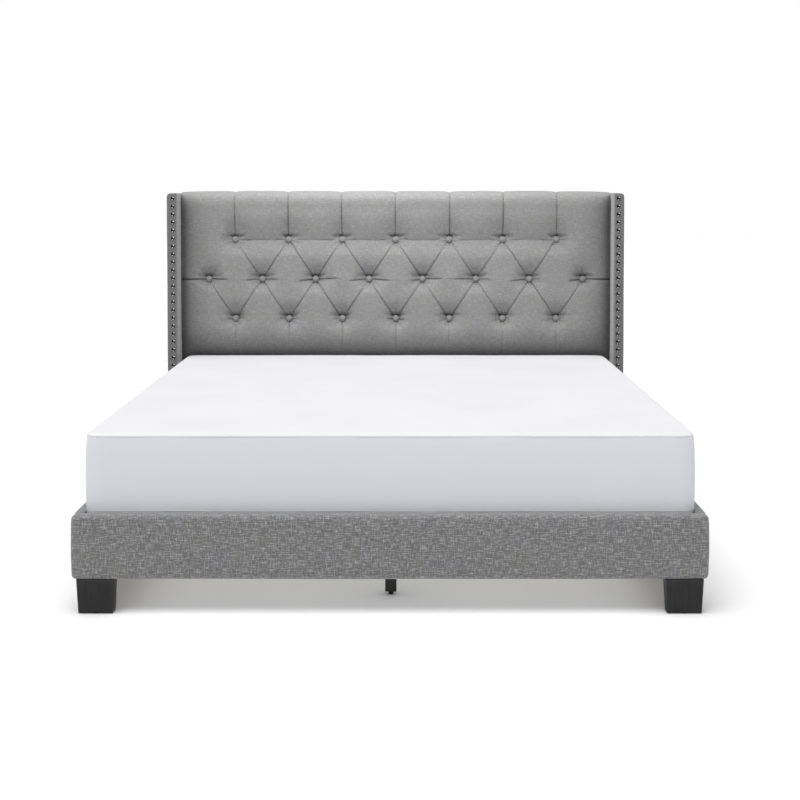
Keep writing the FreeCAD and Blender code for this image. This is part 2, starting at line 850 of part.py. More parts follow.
def stirrup(wall_y, step):
    """A plate on the end board, a seat under the tube and a cheek on each side of it."""
    def along(near, far):
        ends = (wall_y + near * step, wall_y + far * step)
        return ends if step > 0 else ends[::-1]

    inner = D.tube_wide / 2 + D.fit_gap
    outer = inner + D.plate
    z = (TUBE_LOW - D.plate, D.ledger_top - D.bracket_drop)
    plate = block("stirrup_plate", (-D.bracket_side, D.bracket_side), along(Length(0), D.plate), z)
    reach = along(D.plate, D.bracket_seat)
    seat = block("stirrup_seat", (-outer, outer), reach, (z[0], TUBE_LOW))
    left = block("stirrup_left", (-outer, -inner), reach, (TUBE_LOW, z[1]))
    right = block("stirrup_right", (inner, outer), reach, (TUBE_LOW, z[1]))
    return fuse("stirrup", plate, seat, left, right)


def centre_legs():
    """Square legs, each with a leveller that screws into its lower end."""
    bore = D.stem_wide + D.stem_fit
    half = D.leveller_wide / 2
    stem = D.stem_wide / 2
    for number, y in enumerate(leg_middles(), start=1):
        post = block("post", about(Length(0), D.leg_wide), about(y, D.leg_wide),
                     (D.leg_bottom, TUBE_LOW))
        socket = rod("socket", (Length(0), y, D.leg_bottom - 1), (0, 0, 1), D.leveller_room, bore)
        node(cut(f"leg_{number}", post, socket, upright_holes), f"centre_leg_{number}")
        screw = turned(f"leveller_{number}", [
            (0, 0), (half - 1, 0), (half, 1), (half, D.leveller_high * 0.5),
            (half * 0.7, D.leveller_high), (stem, D.leveller_high),
            (stem, D.leveller_long), (0, D.leveller_long),
        ])
        bind(screw, "Placement.Base.y", y)
        node(screw, f"leveller_{number}")


# ------------------------------------------------------------------ slats


def ledgers():
    """Strips along the side rails that the slats lie on, drilled for the slat screws."""
    strips = []
    for side in SIDES.values():
        x = mirrored(side, RAIL_IN - D.ledger_wide, RAIL_IN)
        body = slab("ledger", x, (FOOT_BACK + 2, APRON_FRONT - 2), (SLAT_LOW - D.ledger_high, SLAT_LOW))
        sketch = sketch_on(body, "XY_Plane", f"{body.Name}_holes", SLAT_LOW)
        x_screw = (D.slat_long / 2 - D.screw_inset) * side
        circle(sketch, (x_screw, slat_middles()[0]), D.screw_wide + D.bolt_fit)
        hole = pocket(body, sketch, D.screw_deep + 1)
        repeat(body, hole, sketch, "V_Axis", D.slat_pitch * (SLATS - 1), SLATS)
        strips.append(body)
    node(group("slat_ledgers", strips), "slat_ledgers")


def slats():
    """Wooden slats with rounded long edges and a sunk screw at each end."""
    half = D.slat_long / 2
    clearance = (D.screw_wide + D.bolt_fit, D.slat_thick)
    countersink = (D.screw_head + D.bolt_fit, D.screw_sunk)
    for number, y in enumerate(slat_middles(), start=1):
        name = f"slat_{number:02d}"
        body = slab(name, (-half, half), about(y, D.slat_wide), (SLAT_LOW, SLAT_TOP))
        round_edges(body, D.slat_round, lambda p: abs(p.x) < 1)
        for width, depth in (clearance, countersink):
            sketch = sketch_on(body, "XY_Plane", f"{name}_hole_{depth.number:.0f}", SLAT_TOP)
            circle(sketch, (-half + D.screw_inset, y), width)
            hole = pocket(body, sketch, depth)
            repeat(body, hole, sketch, "H_Axis", D.slat_long - D.screw_inset * 2, 2)
        node(body, name)


def slat_fixings():
    """Screws, and the two tapes under the slats that keep them spaced."""
    head = D.screw_head / 2
    shank = D.screw_wide / 2
    master = turned("slat_screw", [
        (0, -D.slat_thick - D.screw_deep), (shank, -D.slat_thick - D.screw_deep), (shank, -2),
        (head, -2), (head, -0.4), (head - 0.5, 0), (0, 0),
    ])
    x_screw = (D.slat_long / 2 - D.screw_inset).number
    top = SLAT_TOP.number
    places = [(x_screw * side, y.number, top) for side in SIDES.values() for y in slat_middles()]
    node(copies("screws", master, places), "slat_screws")

    middles = slat_middles()
    ends = (middles[0] - D.slat_wide / 2, middles[-1] + D.slat_wide / 2)
    under = (SLAT_LOW - D.tape_thick, SLAT_LOW)
    tapes = [block("tape", about(D.tape_side * side, D.tape_wide), ends, under)
             for side in SIDES.values()]
    node(group("slat_webbing", tapes), "slat_webbing")


# ------------------------------------------------------------------ mattress


def mattress():
    """Foam core in a knitted cover, closed underneath by a bottom panel."""
    half = D.mattress_wide / 2
    x = (-half, half)
    y = (FOOT_BACK + D.mattress_gap, FOOT_BACK + D.mattress_gap + D.mattress_long)
    z = (SLAT_TOP + D.fit_gap, SLAT_TOP + D.fit_gap + D.mattress_high)
    skin = D.ticking

    core = slab("mattress_core", (x[0] + skin, x[1] - skin), (y[0] + skin, y[1] - skin),
                (z[0] + skin, z[1] - skin))
    round_edges(core, D.mattress_round - skin, lambda p: abs(p.z - (z[0] + z[1]).number / 2) < 5)
    node(core, "mattress_core")

    hollow = slab("mattress_hollow", (x[0] + skin, x[1] - skin), (y[0] + skin, y[1] - skin),
                  (z[0] - 1, z[1] - skin))
    round_edges(hollow, D.mattress_round - skin, lambda p: abs(p.z - (z[0] + z[1]).number / 2) < 5)
    cover = slab("mattress_shell", x, y, z)
    round_edges(cover, D.mattress_round, lambda p: abs(p.z - (z[0] + z[1]).number / 2) < 5)
    top = z[1].number
    round_edges(cover, D.ticking - 1, lambda p: abs(p.z - top) < 1)
    node(cut("mattress_cover", cover, hollow), "mattress_cover")

    panel = slab("mattress_bottom", (x[0] + skin, x[1] - skin), (y[0] + skin, y[1] - skin),
                 (z[0], z[0] + skin))
    round_edges(panel, D.mattress_round - skin, lambda p: abs(p.z - (z[0] + skin / 2).number) < 0.5)
    node(panel, "mattress_bottom_panel")


# ------------------------------------------------------------------ build, check and write


def check(things):
    """Stops at the first failed feature or unsound shape."""
    for thing in doc.Objects:
        if {"Invalid", "Error"} & set(thing.State):
            raise RuntimeError(f"{thing.Name} failed: {thing.State}")
    for thing in things:
        if thing.Shape.isNull() or not thing.Shape.isValid() or not thing.Shape.Solids:
            raise RuntimeError(f"{thing.Label} has no sound shape")


def write(things):
    os.makedirs("parts", exist_ok=True)
    for thing in things:
        if not re.fullmatch(r"[a-z0-9_]{1,59}", thing.Label):
            raise RuntimeError(f"{thing.Label} isn't a good file name")
        thing.Shape.exportStep(f"parts/{thing.Label}.step")


headboard_frame()
headboard_panel()
headboard_padding()
headboard_buttons()
for wing_name, wing_side in SIDES.items():
    wing(wing_name, wing_side)
wing_padding()
footboard()
for rail_name, rail_side in SIDES.items():
    side_rail(rail_name, rail_side)
corner_angles()
feet()
centre_rail()
centre_legs()
ledgers()
slats()
slat_fixings()
fasteners()
mattress()
doc.recompute()
check(NODES)
write(NODES)
print(f"{len(NODES)} sub-parts written")
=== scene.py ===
"""Looks of an upholstered bed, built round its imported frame. Metres, +Z up, foot end towards -Y."""

import json
import math
import bmesh
import bpy
import numpy as np
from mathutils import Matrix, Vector

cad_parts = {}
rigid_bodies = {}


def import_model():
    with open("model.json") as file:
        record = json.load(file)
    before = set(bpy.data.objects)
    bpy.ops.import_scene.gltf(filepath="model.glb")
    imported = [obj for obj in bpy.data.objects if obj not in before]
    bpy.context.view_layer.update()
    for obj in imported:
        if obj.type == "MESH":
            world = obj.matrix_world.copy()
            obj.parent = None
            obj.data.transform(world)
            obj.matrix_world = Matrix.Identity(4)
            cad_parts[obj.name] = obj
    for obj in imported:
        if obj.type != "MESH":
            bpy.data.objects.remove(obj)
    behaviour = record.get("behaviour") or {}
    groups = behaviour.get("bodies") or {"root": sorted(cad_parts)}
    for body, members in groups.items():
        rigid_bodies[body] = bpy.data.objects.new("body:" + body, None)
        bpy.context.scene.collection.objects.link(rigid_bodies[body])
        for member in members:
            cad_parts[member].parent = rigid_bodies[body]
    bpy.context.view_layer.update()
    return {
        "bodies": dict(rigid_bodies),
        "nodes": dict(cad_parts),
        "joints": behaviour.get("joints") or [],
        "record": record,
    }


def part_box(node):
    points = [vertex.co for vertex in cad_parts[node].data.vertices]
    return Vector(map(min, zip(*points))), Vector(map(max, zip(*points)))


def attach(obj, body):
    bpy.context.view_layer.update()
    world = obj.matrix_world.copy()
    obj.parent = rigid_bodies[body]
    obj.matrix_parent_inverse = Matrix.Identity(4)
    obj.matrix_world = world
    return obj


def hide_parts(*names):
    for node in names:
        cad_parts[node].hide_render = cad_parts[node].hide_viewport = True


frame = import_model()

MM = 0.001
BED = "bed_frame"
MATTRESS = "mattress"
SIDES = {"left": -1, "right": 1}


# ------------------------------ places read from the frame


def corners(node):
    """Lowest and highest corner of a CAD node, as arrays."""
    low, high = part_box(node)
    return np.array(low), np.array(high)


COVER_LOW, COVER_HIGH = corners("headboard_cover")
BUTTON_LOW, BUTTON_HIGH = corners("headboard_buttons")
WING_FACE = corners("wing_right_cover")[0][1]

BUTTON_PITCH = 250 * MM
BUTTON_WIDE = 28 * MM
ROW_STEP = (BUTTON_HIGH[2] - BUTTON_LOW[2] - BUTTON_WIDE) / 2
ROW_LOW = BUTTON_LOW[2] + BUTTON_WIDE / 2
ROW_MIDDLE = ROW_LOW + ROW_STEP
ROW_TOP = ROW_LOW + 2 * ROW_STEP


def button_places():
    """(x, z) of every button: seven, eight, seven."""
    rows = ((ROW_TOP, 7), (ROW_MIDDLE, 8), (ROW_LOW, 7))
    return [((number - (count - 1) / 2) * BUTTON_PITCH, z) for z, count in rows for number in range(count)]


# ------------------------------ camera, light and floor


def make_camera():
    """At the height of the headboard's top, a little right of the middle, shifted down to the bed."""
    data = bpy.data.cameras.new("camera")
    data.sensor_width = 36
    data.lens = 60.76
    data.shift_x = -0.0094
    data.shift_y = -0.200
    camera = bpy.data.objects.new("camera", data)
    camera.location = (0.055, -5.293, 1.3353)
    camera.rotation_euler = (math.radians(90 - 2.164), 0, 0)
    bpy.context.collection.objects.link(camera)
    bpy.context.scene.camera = camera


def area_light(name, place, target, size, power):
    """A soft rectangular lamp, size (across, along), that looks from its place at a target."""
    data = bpy.data.lights.new(name, "AREA")
    data.shape = "RECTANGLE"
    data.size, data.size_y = size
    data.energy = power
    light = bpy.data.objects.new(name, data)
    light.location = place
    aim = Vector(target) - Vector(place)
    light.rotation_euler = aim.to_track_quat("-Z", "Y").to_euler()
    bpy.context.collection.objects.link(light)
    return light


def make_sky(strength_top, strength_side):
    """A studio sky: plain white to the camera, and dark in reflections, like a studio's black flags."""
    strength_mirrored = 0.08
    world = bpy.data.worlds.new("studio")
    world.use_nodes = True
    tree = world.node_tree
    new, link = tree.nodes.new, tree.links.new
    direction = new("ShaderNodeSeparateXYZ")
    link(new("ShaderNodeTexCoord").outputs["Generated"], direction.inputs[0])
    height = new("ShaderNodeMapRange")
    link(direction.outputs[2], height.inputs["Value"])
    height.inputs["To Min"].default_value = strength_side
    height.inputs["To Max"].default_value = strength_top
    seen = new("ShaderNodeLightPath").outputs["Is Camera Ray"]
    either = new("ShaderNodeMix")
    link(seen, either.inputs[0])
    link(height.outputs["Result"], either.inputs[2])
    either.inputs[3].default_value = 1.0
    mirrored = new("ShaderNodeMix")
    link(tree.nodes["Light Path"].outputs["Is Glossy Ray"], mirrored.inputs[0])
    link(either.outputs[0], mirrored.inputs[2])
    mirrored.inputs[3].default_value = strength_mirrored
    link(mirrored.outputs[0], tree.nodes["Background"].inputs["Strength"])
    tree.nodes["Background"].inputs["Color"].default_value = (1, 1, 1, 1)
    bpy.context.scene.world = world


def make_lights():
    """Sky and a soft high sun, with a lamp for the headboard and a faint one for the floor under the bed."""
    make_sky(strength_top=0.40, strength_side=0.50)
    data = bpy.data.lights.new("soft_sun", "SUN")
    data.energy = 2.9
    data.angle = math.radians(50)
    sun = bpy.data.objects.new("soft_sun", data)
    sun.rotation_euler = (math.radians(11), math.radians(-7), 0)
    bpy.context.collection.objects.link(sun)
    key = area_light("headboard_key", (-0.2, 0.0, 2.9), target=(0, 1.0, 0.88), size=(1.6, 0.6), power=7.9)
    key.data.spread = math.radians(70)
    fill = area_light("under_bed_fill", (0, -0.72, 0.106), target=(0, -0.72, 0), size=(1.7, 0.85), power=2.0)
    fill.visible_camera = False
    fill.data.color = (0.93, 0.97, 1.0)
    return key, fill


def lights_only(light, pieces):
    """Keeps a light to some of the pieces."""
    reach = bpy.data.collections.new(f"{light.name}_reach")
    for piece in pieces:
        reach.objects.link(piece)
    light.light_linking.receiver_collection = reach


def make_floor():
    """A plain pale floor, wide enough for every view."""
    mesh = bpy.data.meshes.new("floor")
    half = 30
    square = [(-half, -half, 0), (half, -half, 0), (half, half, 0), (-half, half, 0)]
    mesh.from_pydata(square, [], [(0, 1, 2, 3)])
    floor = bpy.data.objects.new("floor", mesh)
    bpy.context.collection.objects.link(floor)
    mesh.materials.append(plain_floor())
    return floor


# ------------------------------ materials


class Nodes:
    """A short way to write a material's node tree."""

    def __init__(self, name):
        self.material = bpy.data.materials.new(name)
        self.material.use_nodes = True
        self.tree = self.material.node_tree
        self.shader = self.tree.nodes["Principled BSDF"]

    def new(self, kind, **settings):
        made = self.tree.nodes.new(kind)
        for key, value in settings.items():
            setattr(made, key, value)
        return made

    def link(self, source, target):
        self.tree.links.new(source, target)

    def put(self, socket, value):
        """Links another node's output to a socket, or sets it to a number or a colour."""
        if hasattr(value, "is_output"):
            self.link(value, socket)
        else:
            socket.default_value = value

    def math(self, operation, a, b=0.0):
        made = self.new("ShaderNodeMath", operation=operation)
        self.put(made.inputs[0], a)
        self.put(made.inputs[1], b)
        return made.outputs[0]

    def times(self, a, b):
        return self.math("MULTIPLY", a, b)

    def plus(self, a, b):
        return self.math("ADD", a, b)

    def mix(self, factor, a, b):
        made = self.new("ShaderNodeMix", data_type="RGBA")
        self.put(made.inputs[0], factor)
        self.put(made.inputs[6], a)
        self.put(made.inputs[7], b)
        return made.outputs[2]

    def noise(self, place, scale, detail=2.0, roughness=0.5):
        made = self.new("ShaderNodeTexNoise")
        self.link(place, made.inputs["Vector"])
        made.inputs["Scale"].default_value = scale
        made.inputs["Detail"].default_value = detail
        made.inputs["Roughness"].default_value = roughness
        return made.outputs["Fac"]

    def streaks(self, place, factors, detail=2.0, roughness=0.5):
        """Noise that is squeezed by these factors along x, y and z."""
        made = self.new("ShaderNodeVectorMath", operation="MULTIPLY")
        self.link(place, made.inputs[0])
        made.inputs[1].default_value = factors
        return self.noise(made.outputs[0], 1.0, detail, roughness)

    def place(self):
        """The piece's own coordinates, in metres."""
        return self.new("ShaderNodeTexCoord").outputs["Object"]

    def split(self, vector):
        """The x, y and z of a vector."""
        made = self.new("ShaderNodeSeparateXYZ")
        self.link(vector, made.inputs[0])
        return made.outputs

    def geometry(self, output):
        return self.new("ShaderNodeNewGeometry").outputs[output]

    def open_air(self, distance):
        """How open the surroundings are within a distance: 1 in the open, 0 in a closed fold."""
        made = self.new("ShaderNodeAmbientOcclusion", samples=6)
        made.inputs["Distance"].default_value = distance
        return made.outputs["AO"]

    def told(self, name):
        """A number that a piece carries as a custom property, or 0."""
        return self.new("ShaderNodeAttribute", attribute_type="OBJECT", attribute_name=name).outputs["Fac"]

    def ramp(self, value, low, high, bottom=0.0, top=1.0):
        made = self.new("ShaderNodeMapRange")
        self.put(made.inputs["Value"], value)
        for key, number in (("From Min", low), ("From Max", high), ("To Min", bottom), ("To Max", top)):
            made.inputs[key].default_value = number
        return made.outputs["Result"]

    def bump(self, height, strength, distance):
        made = self.new("ShaderNodeBump")
        made.inputs["Strength"].default_value = strength
        made.inputs["Distance"].default_value = distance
        self.link(height, made.inputs["Height"])
        self.link(made.outputs["Normal"], self.shader.inputs["Normal"])

    def set(self, **values):
        for key, value in values.items():
            self.put(self.shader.inputs[key.replace("_", " ")], value)


def flat_places(nodes):
    """Cloth coordinates in metres: x along the warp, y along the weft, whichever way a face looks."""
    place = nodes.place()
    x, y, z = nodes.split(place)
    nx, ny, nz = (nodes.math("ABSOLUTE", part) for part in nodes.split(nodes.geometry("Normal")))
    sideways = nodes.math("GREATER_THAN", nx, nodes.math("MAXIMUM", ny, nz))
    upwards = nodes.math("GREATER_THAN", nz, nodes.math("MAXIMUM", nx, ny))
    flat = nodes.new("ShaderNodeCombineXYZ")
    nodes.link(nodes.mix(sideways, x, y), flat.inputs[0])
    nodes.link(nodes.mix(upwards, z, y), flat.inputs[1])
    return place, flat.outputs[0]


def threads(nodes, flat, pitch):
    """Height of a plain weave: warp and weft cross over and under every pitch."""
    across, along, _ = nodes.split(flat)
    turn = math.pi / pitch
    warp = nodes.math("SINE", nodes.times(across, turn))
    weft = nodes.math("SINE", nodes.times(along, turn))
    return nodes.times(warp, weft)


def heather_linen():
    """Grey linen-look cloth: a plain weave of light and dark slubbed yarns, in two directions.

    A piece's fold-shade number paints shade into its folds and hollows, and its side-shade number paints
    shade on all faces but those towards the bed's middle.
    """
    nodes = Nodes("heather_linen")
    place, flat = flat_places(nodes)
    weft = nodes.ramp(nodes.streaks(flat, (34, 300, 1), 2.0, 0.6), 0.46, 0.72)
    warp = nodes.ramp(nodes.streaks(flat, (300, 40, 1), 2.0, 0.6), 0.46, 0.72)
    fine_weft = nodes.ramp(nodes.streaks(flat, (180, 900, 1), 1.0), 0.3, 0.7)
    fine_warp = nodes.ramp(nodes.streaks(flat, (900, 180, 1), 1.0), 0.3, 0.7)
    over = nodes.ramp(threads(nodes, flat, 1.7 * MM), -0.4, 0.4)
    yarn = nodes.plus(nodes.times(weft, 0.55), nodes.times(warp, 0.45))
    fine = nodes.plus(fine_weft, fine_warp)
    shade = nodes.ramp(nodes.plus(yarn, nodes.times(fine, 0.22)), 0.20, 1.20)
    x, y, _ = nodes.split(place)
    calm = nodes.ramp(y, 0.5, 0.9, 1.15, 0.45)
    shade = nodes.plus(nodes.times(nodes.math("SUBTRACT", shade, 0.5), calm), 0.5)
    colour = nodes.mix(shade, (0.130, 0.130, 0.133, 1), (0.440, 0.440, 0.434, 1))
    warm = nodes.ramp(nodes.streaks(flat, (22, 9, 1), 2.0), 0.50, 0.66)
    cool = nodes.ramp(nodes.streaks(flat, (8, 19, 1), 2.0), 0.52, 0.68)
    knots = nodes.ramp(nodes.streaks(flat, (210, 260, 1), 1.0), 0.66, 0.74)
    colour = nodes.mix(nodes.times(warm, 0.10), colour, (0.26, 0.25, 0.19, 1))
    colour = nodes.mix(nodes.times(cool, 0.10), colour, (0.20, 0.21, 0.26, 1))
    colour = nodes.mix(nodes.times(knots, 0.5), colour, (0.50, 0.50, 0.48, 1))
    # painted shade: faces that don't look towards the bed's middle are darkened by the piece's side-shade
    # number
    inward = nodes.times(nodes.times(nodes.split(nodes.geometry("Normal"))[0], x), -1.0)
    side_shade_mask = nodes.times(nodes.ramp(inward, 0.30, 0.75, 1.0, 0.0), nodes.told("painted_side_shade"))
    colour = nodes.mix(side_shade_mask, colour, (0.02, 0.02, 0.021, 1))
    # painted shade: the cloth is darkened towards near-black in folds, hollows and gaps found by ambient
    # occlusion and pointiness, as far as the piece's fold-shade number says
    wide = nodes.ramp(nodes.open_air(0.16), 0.30, 0.95, 0.28, 1.0)
    close = nodes.ramp(nodes.open_air(0.05), 0.35, 0.90, 0.25, 1.0)
    hollow = nodes.ramp(nodes.geometry("Pointiness"), 0.40, 0.49, 0.55, 1.0)
    open_to_light = nodes.times(nodes.times(wide, close), hollow)
    shaded = nodes.times(nodes.told("painted_fold_shade"), nodes.math("SUBTRACT", 1.0, open_to_light))
    colour = nodes.mix(shaded, colour, (0.012, 0.012, 0.013, 1))
    nodes.set(Base_Color=colour, Roughness=nodes.ramp(shade, 0, 1, 0.96, 0.84),
              Sheen_Weight=0.35, Sheen_Roughness=0.5, Specular_IOR_Level=0.2)
    height = nodes.plus(nodes.times(over, 0.5), nodes.plus(yarn, knots))
    nodes.bump(height, 0.5, 0.7 * MM)
    return nodes.material


def mattress_knit():
    """White stretch knit with a fine waffle of loops."""
    nodes = Nodes("mattress_knit")
    place, flat = flat_places(nodes)
    loops = threads(nodes, flat, 2.4 * MM)
    fine = nodes.streaks(flat, (500, 800, 1), 2.0)
    cloudy = nodes.noise(place, 3.0, 2.0)
    colour = nodes.mix(nodes.ramp(cloudy, 0.3, 0.7), (0.70, 0.70, 0.715, 1), (0.735, 0.735, 0.75, 1))
    upward = nodes.split(nodes.geometry("Normal"))[2]
    colour = nodes.mix(nodes.ramp(upward, 0.2, 0.8, 1.0, 0.0), colour, (0.69, 0.70, 0.742, 1))
    colour = nodes.mix(nodes.ramp(loops, -1.0, 1.0, 0.0, 0.12), colour, (0.62, 0.62, 0.65, 1))
    nodes.set(Base_Color=colour, Roughness=nodes.ramp(fine, 0.3, 0.7, 0.85, 0.97),
              Sheen_Weight=0.15, Specular_IOR_Level=0.2)
    nodes.bump(nodes.plus(loops, fine), 0.3, 0.4 * MM)
    return nodes.material


def grained_wood(name, dark, light, ply=False):
    """Planed wood with its grain along x, or plywood with its plies on the edges."""
    nodes = Nodes(name)
    place = nodes.place()
    rings = nodes.streaks(place, (1.6, 26, 26), 6.0, 0.6)
    pores = nodes.streaks(place, (9, 420, 420), 2.0)
    colour = nodes.mix(nodes.ramp(rings, 0.35, 0.66), dark, light)
    colour = nodes.mix(nodes.ramp(pores, 0.58, 0.75, 0.0, 0.5), colour, dark)
    if ply:
        veneer = 1.5 * MM
        plies = nodes.math("SINE", nodes.times(nodes.split(place)[1], math.pi / veneer))
        colour = nodes.mix(nodes.ramp(plies, 0.2, 0.6, 0.0, 0.35), colour, dark)
    nodes.set(Base_Color=colour, Roughness=nodes.ramp(rings, 0.3, 0.7, 0.55, 0.70))
    nodes.bump(nodes.plus(rings, pores), 0.25, 0.4 * MM)
    return nodes.material


def black_lacquer():
    """Black satin finish on wood: faint grain, softly worn edges."""
    nodes = Nodes("black_wood")
    place = nodes.place()
    grain = nodes.streaks(place, (160, 160, 9), 4.0, 0.6)
    wear = nodes.ramp(nodes.geometry("Pointiness"), 0.52, 0.62)
    smudge = nodes.noise(place, 18.0, 3.0)
    colour = nodes.mix(nodes.ramp(grain, 0.35, 0.7), (0.006, 0.006, 0.0065, 1), (0.014, 0.014, 0.015, 1))
    colour = nodes.mix(nodes.times(wear, 0.5), colour, (0.05, 0.048, 0.046, 1))
    nodes.set(Base_Color=colour, Roughness=nodes.ramp(smudge, 0.3, 0.7, 0.42, 0.55),
              Specular_IOR_Level=0.35, Coat_Weight=0.05, Coat_Roughness=0.35)
    nodes.bump(grain, 0.12, 0.3 * MM)
    return nodes.material


def metal(name, colour, roughness, speckle=False, metallic=1.0):
    """Plated or coated metal with fine scratches, or a powder coat's orange peel."""
    nodes = Nodes(name)
    place = nodes.place()
    scratches = 0.06
    streaks = nodes.streaks(place, (60, 600, 600), 3.0)
    peel = nodes.noise(place, 900.0 if speckle else 120.0, 2.0)
    darker = tuple(c * 0.8 for c in colour[:3]) + (1,)
    nodes.set(Base_Color=nodes.mix(nodes.ramp(peel, 0.35, 0.7), darker, colour),
              Roughness=nodes.ramp(streaks, 0.3, 0.7, roughness - scratches, roughness + scratches),
              Metallic=metallic)
    nodes.bump(peel if speckle else streaks, 0.15, 0.15 * MM)
    return nodes.material


def painted_reflection_nails():
    """Polished nickel nails painted near-black for dark reflections, with a painted highlight above and a
    painted reflection below on each dome.
    """
    nodes = Nodes("polished_nails")
    place = nodes.new("ShaderNodeTexCoord")

    def painted_glint(direction, low, high):
        """A painted glint: 1 on a small patch of the dome that faces one way, fading out round it."""
        facing = nodes.new("ShaderNodeVectorMath", operation="DOT_PRODUCT")
        nodes.link(place.outputs["Normal"], facing.inputs[0])
        facing.inputs[1].default_value = Vector(direction).normalized()
        return nodes.ramp(facing.outputs["Value"], low, high)

    upper = painted_glint((0.34, -1, 0.50), 0.950, 0.972)
    lower = painted_glint((-0.10, -1, -0.66), 0.955, 0.980)
    painted_glints = nodes.math("MAXIMUM", upper, lower)
    patina = nodes.noise(place.outputs["Object"], 260.0, 3.0)
    # painted reflections: near-black where the dome would mirror dark surroundings, white on the painted
    # highlight and painted reflection
    colour = nodes.mix(painted_glints, (0.004, 0.004, 0.004, 1), (0.97, 0.97, 0.97, 1))
    nodes.set(Base_Color=colour, Roughness=nodes.ramp(patina, 0.3, 0.7, 0.12, 0.24), Metallic=0.25)
    nodes.bump(patina, 0.1, 0.1 * MM)
    return nodes.material


def moulded_plastic(name, colour):
    """Matt plastic with a fine mould grain and faint marks."""
    nodes = Nodes(name)
    place = nodes.place()
    grain = nodes.noise(place, 1400.0, 2.0)
    marks = nodes.noise(place, 60.0, 3.0)
    lighter = tuple(min(1.0, c * 1.4) for c in colour[:3]) + (1,)
    nodes.set(Base_Color=nodes.mix(nodes.ramp(marks, 0.35, 0.7), colour, lighter),
              Roughness=nodes.ramp(marks, 0.3, 0.7, 0.50, 0.65))
    nodes.bump(grain, 0.2, 0.1 * MM)
    return nodes.material


def open_foam():
    """Cream open-cell foam."""
    nodes = Nodes("foam")
    place = nodes.place()
    cells = nodes.new("ShaderNodeTexVoronoi")
    nodes.link(place, cells.inputs["Vector"])
    cells.inputs["Scale"].default_value = 600
    pores = cells.outputs["Distance"]
    nodes.set(Base_Color=nodes.mix(nodes.ramp(pores, 0.1, 0.6), (0.60, 0.56, 0.44, 1), (0.78, 0.75, 0.64, 1)),
              Roughness=nodes.ramp(pores, 0.0, 1.0, 0.9, 1.0))
    nodes.bump(pores, 0.5, 0.5 * MM)
    return nodes.material


def spunbond(name, dark, light):
    """Thin non-woven cloth: pressed fibres with a grid of small weld points."""
    nodes = Nodes(name)
    place, flat = flat_places(nodes)
    fibres = nodes.noise(place, 700.0, 4.0, 0.7)
    welds = nodes.ramp(threads(nodes, flat, 3.2 * MM), 0.55, 0.9)
    colour = nodes.mix(nodes.ramp(fibres, 0.35, 0.7), dark, light)
    colour = nodes.mix(nodes.times(welds, 0.4), colour, dark)
    nodes.set(Base_Color=colour, Roughness=nodes.ramp(fibres, 0.3, 0.7, 0.8, 0.95))
    nodes.bump(nodes.math("SUBTRACT", fibres, welds), 0.4, 0.3 * MM)
    return nodes.material


def woven_tape():
    """Black webbing with a close plain weave."""
    nodes = Nodes("webbing")
    place, flat = flat_places(nodes)
    weave = threads(nodes, flat, 1.2 * MM)
    fuzz = nodes.noise(place, 900.0, 3.0)
    colour = nodes.mix(nodes.ramp(weave, -1.0, 1.0), (0.012, 0.012, 0.013, 1), (0.05, 0.05, 0.052, 1))
    nodes.set(Base_Color=colour, Roughness=nodes.ramp(fuzz, 0.3, 0.7, 0.75, 0.95))
    nodes.bump(weave, 0.6, 0.5 * MM)
    return nodes.material


def plain_floor():
    """Matt off-white."""
    nodes = Nodes("floor_white")
    place = nodes.place()
    soft = nodes.noise(place, 0.7, 2.0)
    nodes.set(Base_Color=nodes.mix(soft, (0.81, 0.81, 0.812, 1), (0.83, 0.83, 0.832, 1)),
              Roughness=0.9, Specular_IOR_Level=0.1)
    return nodes.material


def make_materials():
    """Every material by the name of its slot."""
    pine_dark, pine_light = (0.40, 0.26, 0.13, 1), (0.62, 0.45, 0.26, 1)
    ply_dark, ply_light = (0.34, 0.22, 0.11, 1), (0.55, 0.39, 0.22, 1)
    return {
        "heather_linen": heather_linen(),
        "mattress_knit": mattress_knit(),
        "polished_nails": painted_reflection_nails(),
        "black_wood": black_lacquer(),
        "pine": grained_wood("pine", pine_dark, pine_light),
        "plywood": grained_wood("plywood", ply_dark, ply_light, ply=True),
        "foam": open_foam(),
        "dust_cloth": spunbond("dust_cloth", (0.010, 0.010, 0.011, 1), (0.035, 0.035, 0.037, 1)),
        "mattress_base_cloth": spunbond("mattress_base_cloth", (0.16, 0.16, 0.17, 1), (0.28, 0.28, 0.29, 1)),
        "webbing": woven_tape(),
        "zinc_steel": metal("zinc_steel", (0.58, 0.58, 0.56, 1), 0.34),
        "black_steel": metal("black_steel", (0.022, 0.022, 0.023, 1), 0.45, speckle=True, metallic=0.0),
        "leveller_black": moulded_plastic("leveller_black", (0.014, 0.014, 0.014, 1)),
        "nylon": moulded_plastic("nylon", (0.03, 0.03, 0.03, 1)),
    }


def dress_frame(materials):
    """Every CAD node takes the material of its slot, and hard parts get slightly broken edges."""
    slots = {part["node"]: part["material_slot"] for part in frame["record"]["subparts"]}
    for name, part in frame["nodes"].items():
        material = materials[slots[name]]
        if not part.material_slots:
            part.data.materials.append(material)
        for held in part.material_slots:
            held.link = "OBJECT"
            held.material = material
        if slots[name] in ("black_wood", "pine", "black_steel"):
            bevel = part.modifiers.new("broken_edges", "BEVEL")
            bevel.width = 1.2 * MM
            bevel.segments = 2
            bevel.limit_method = "ANGLE"
            bevel.angle_limit = math.radians(40)


# ------------------------------ mesh helpers


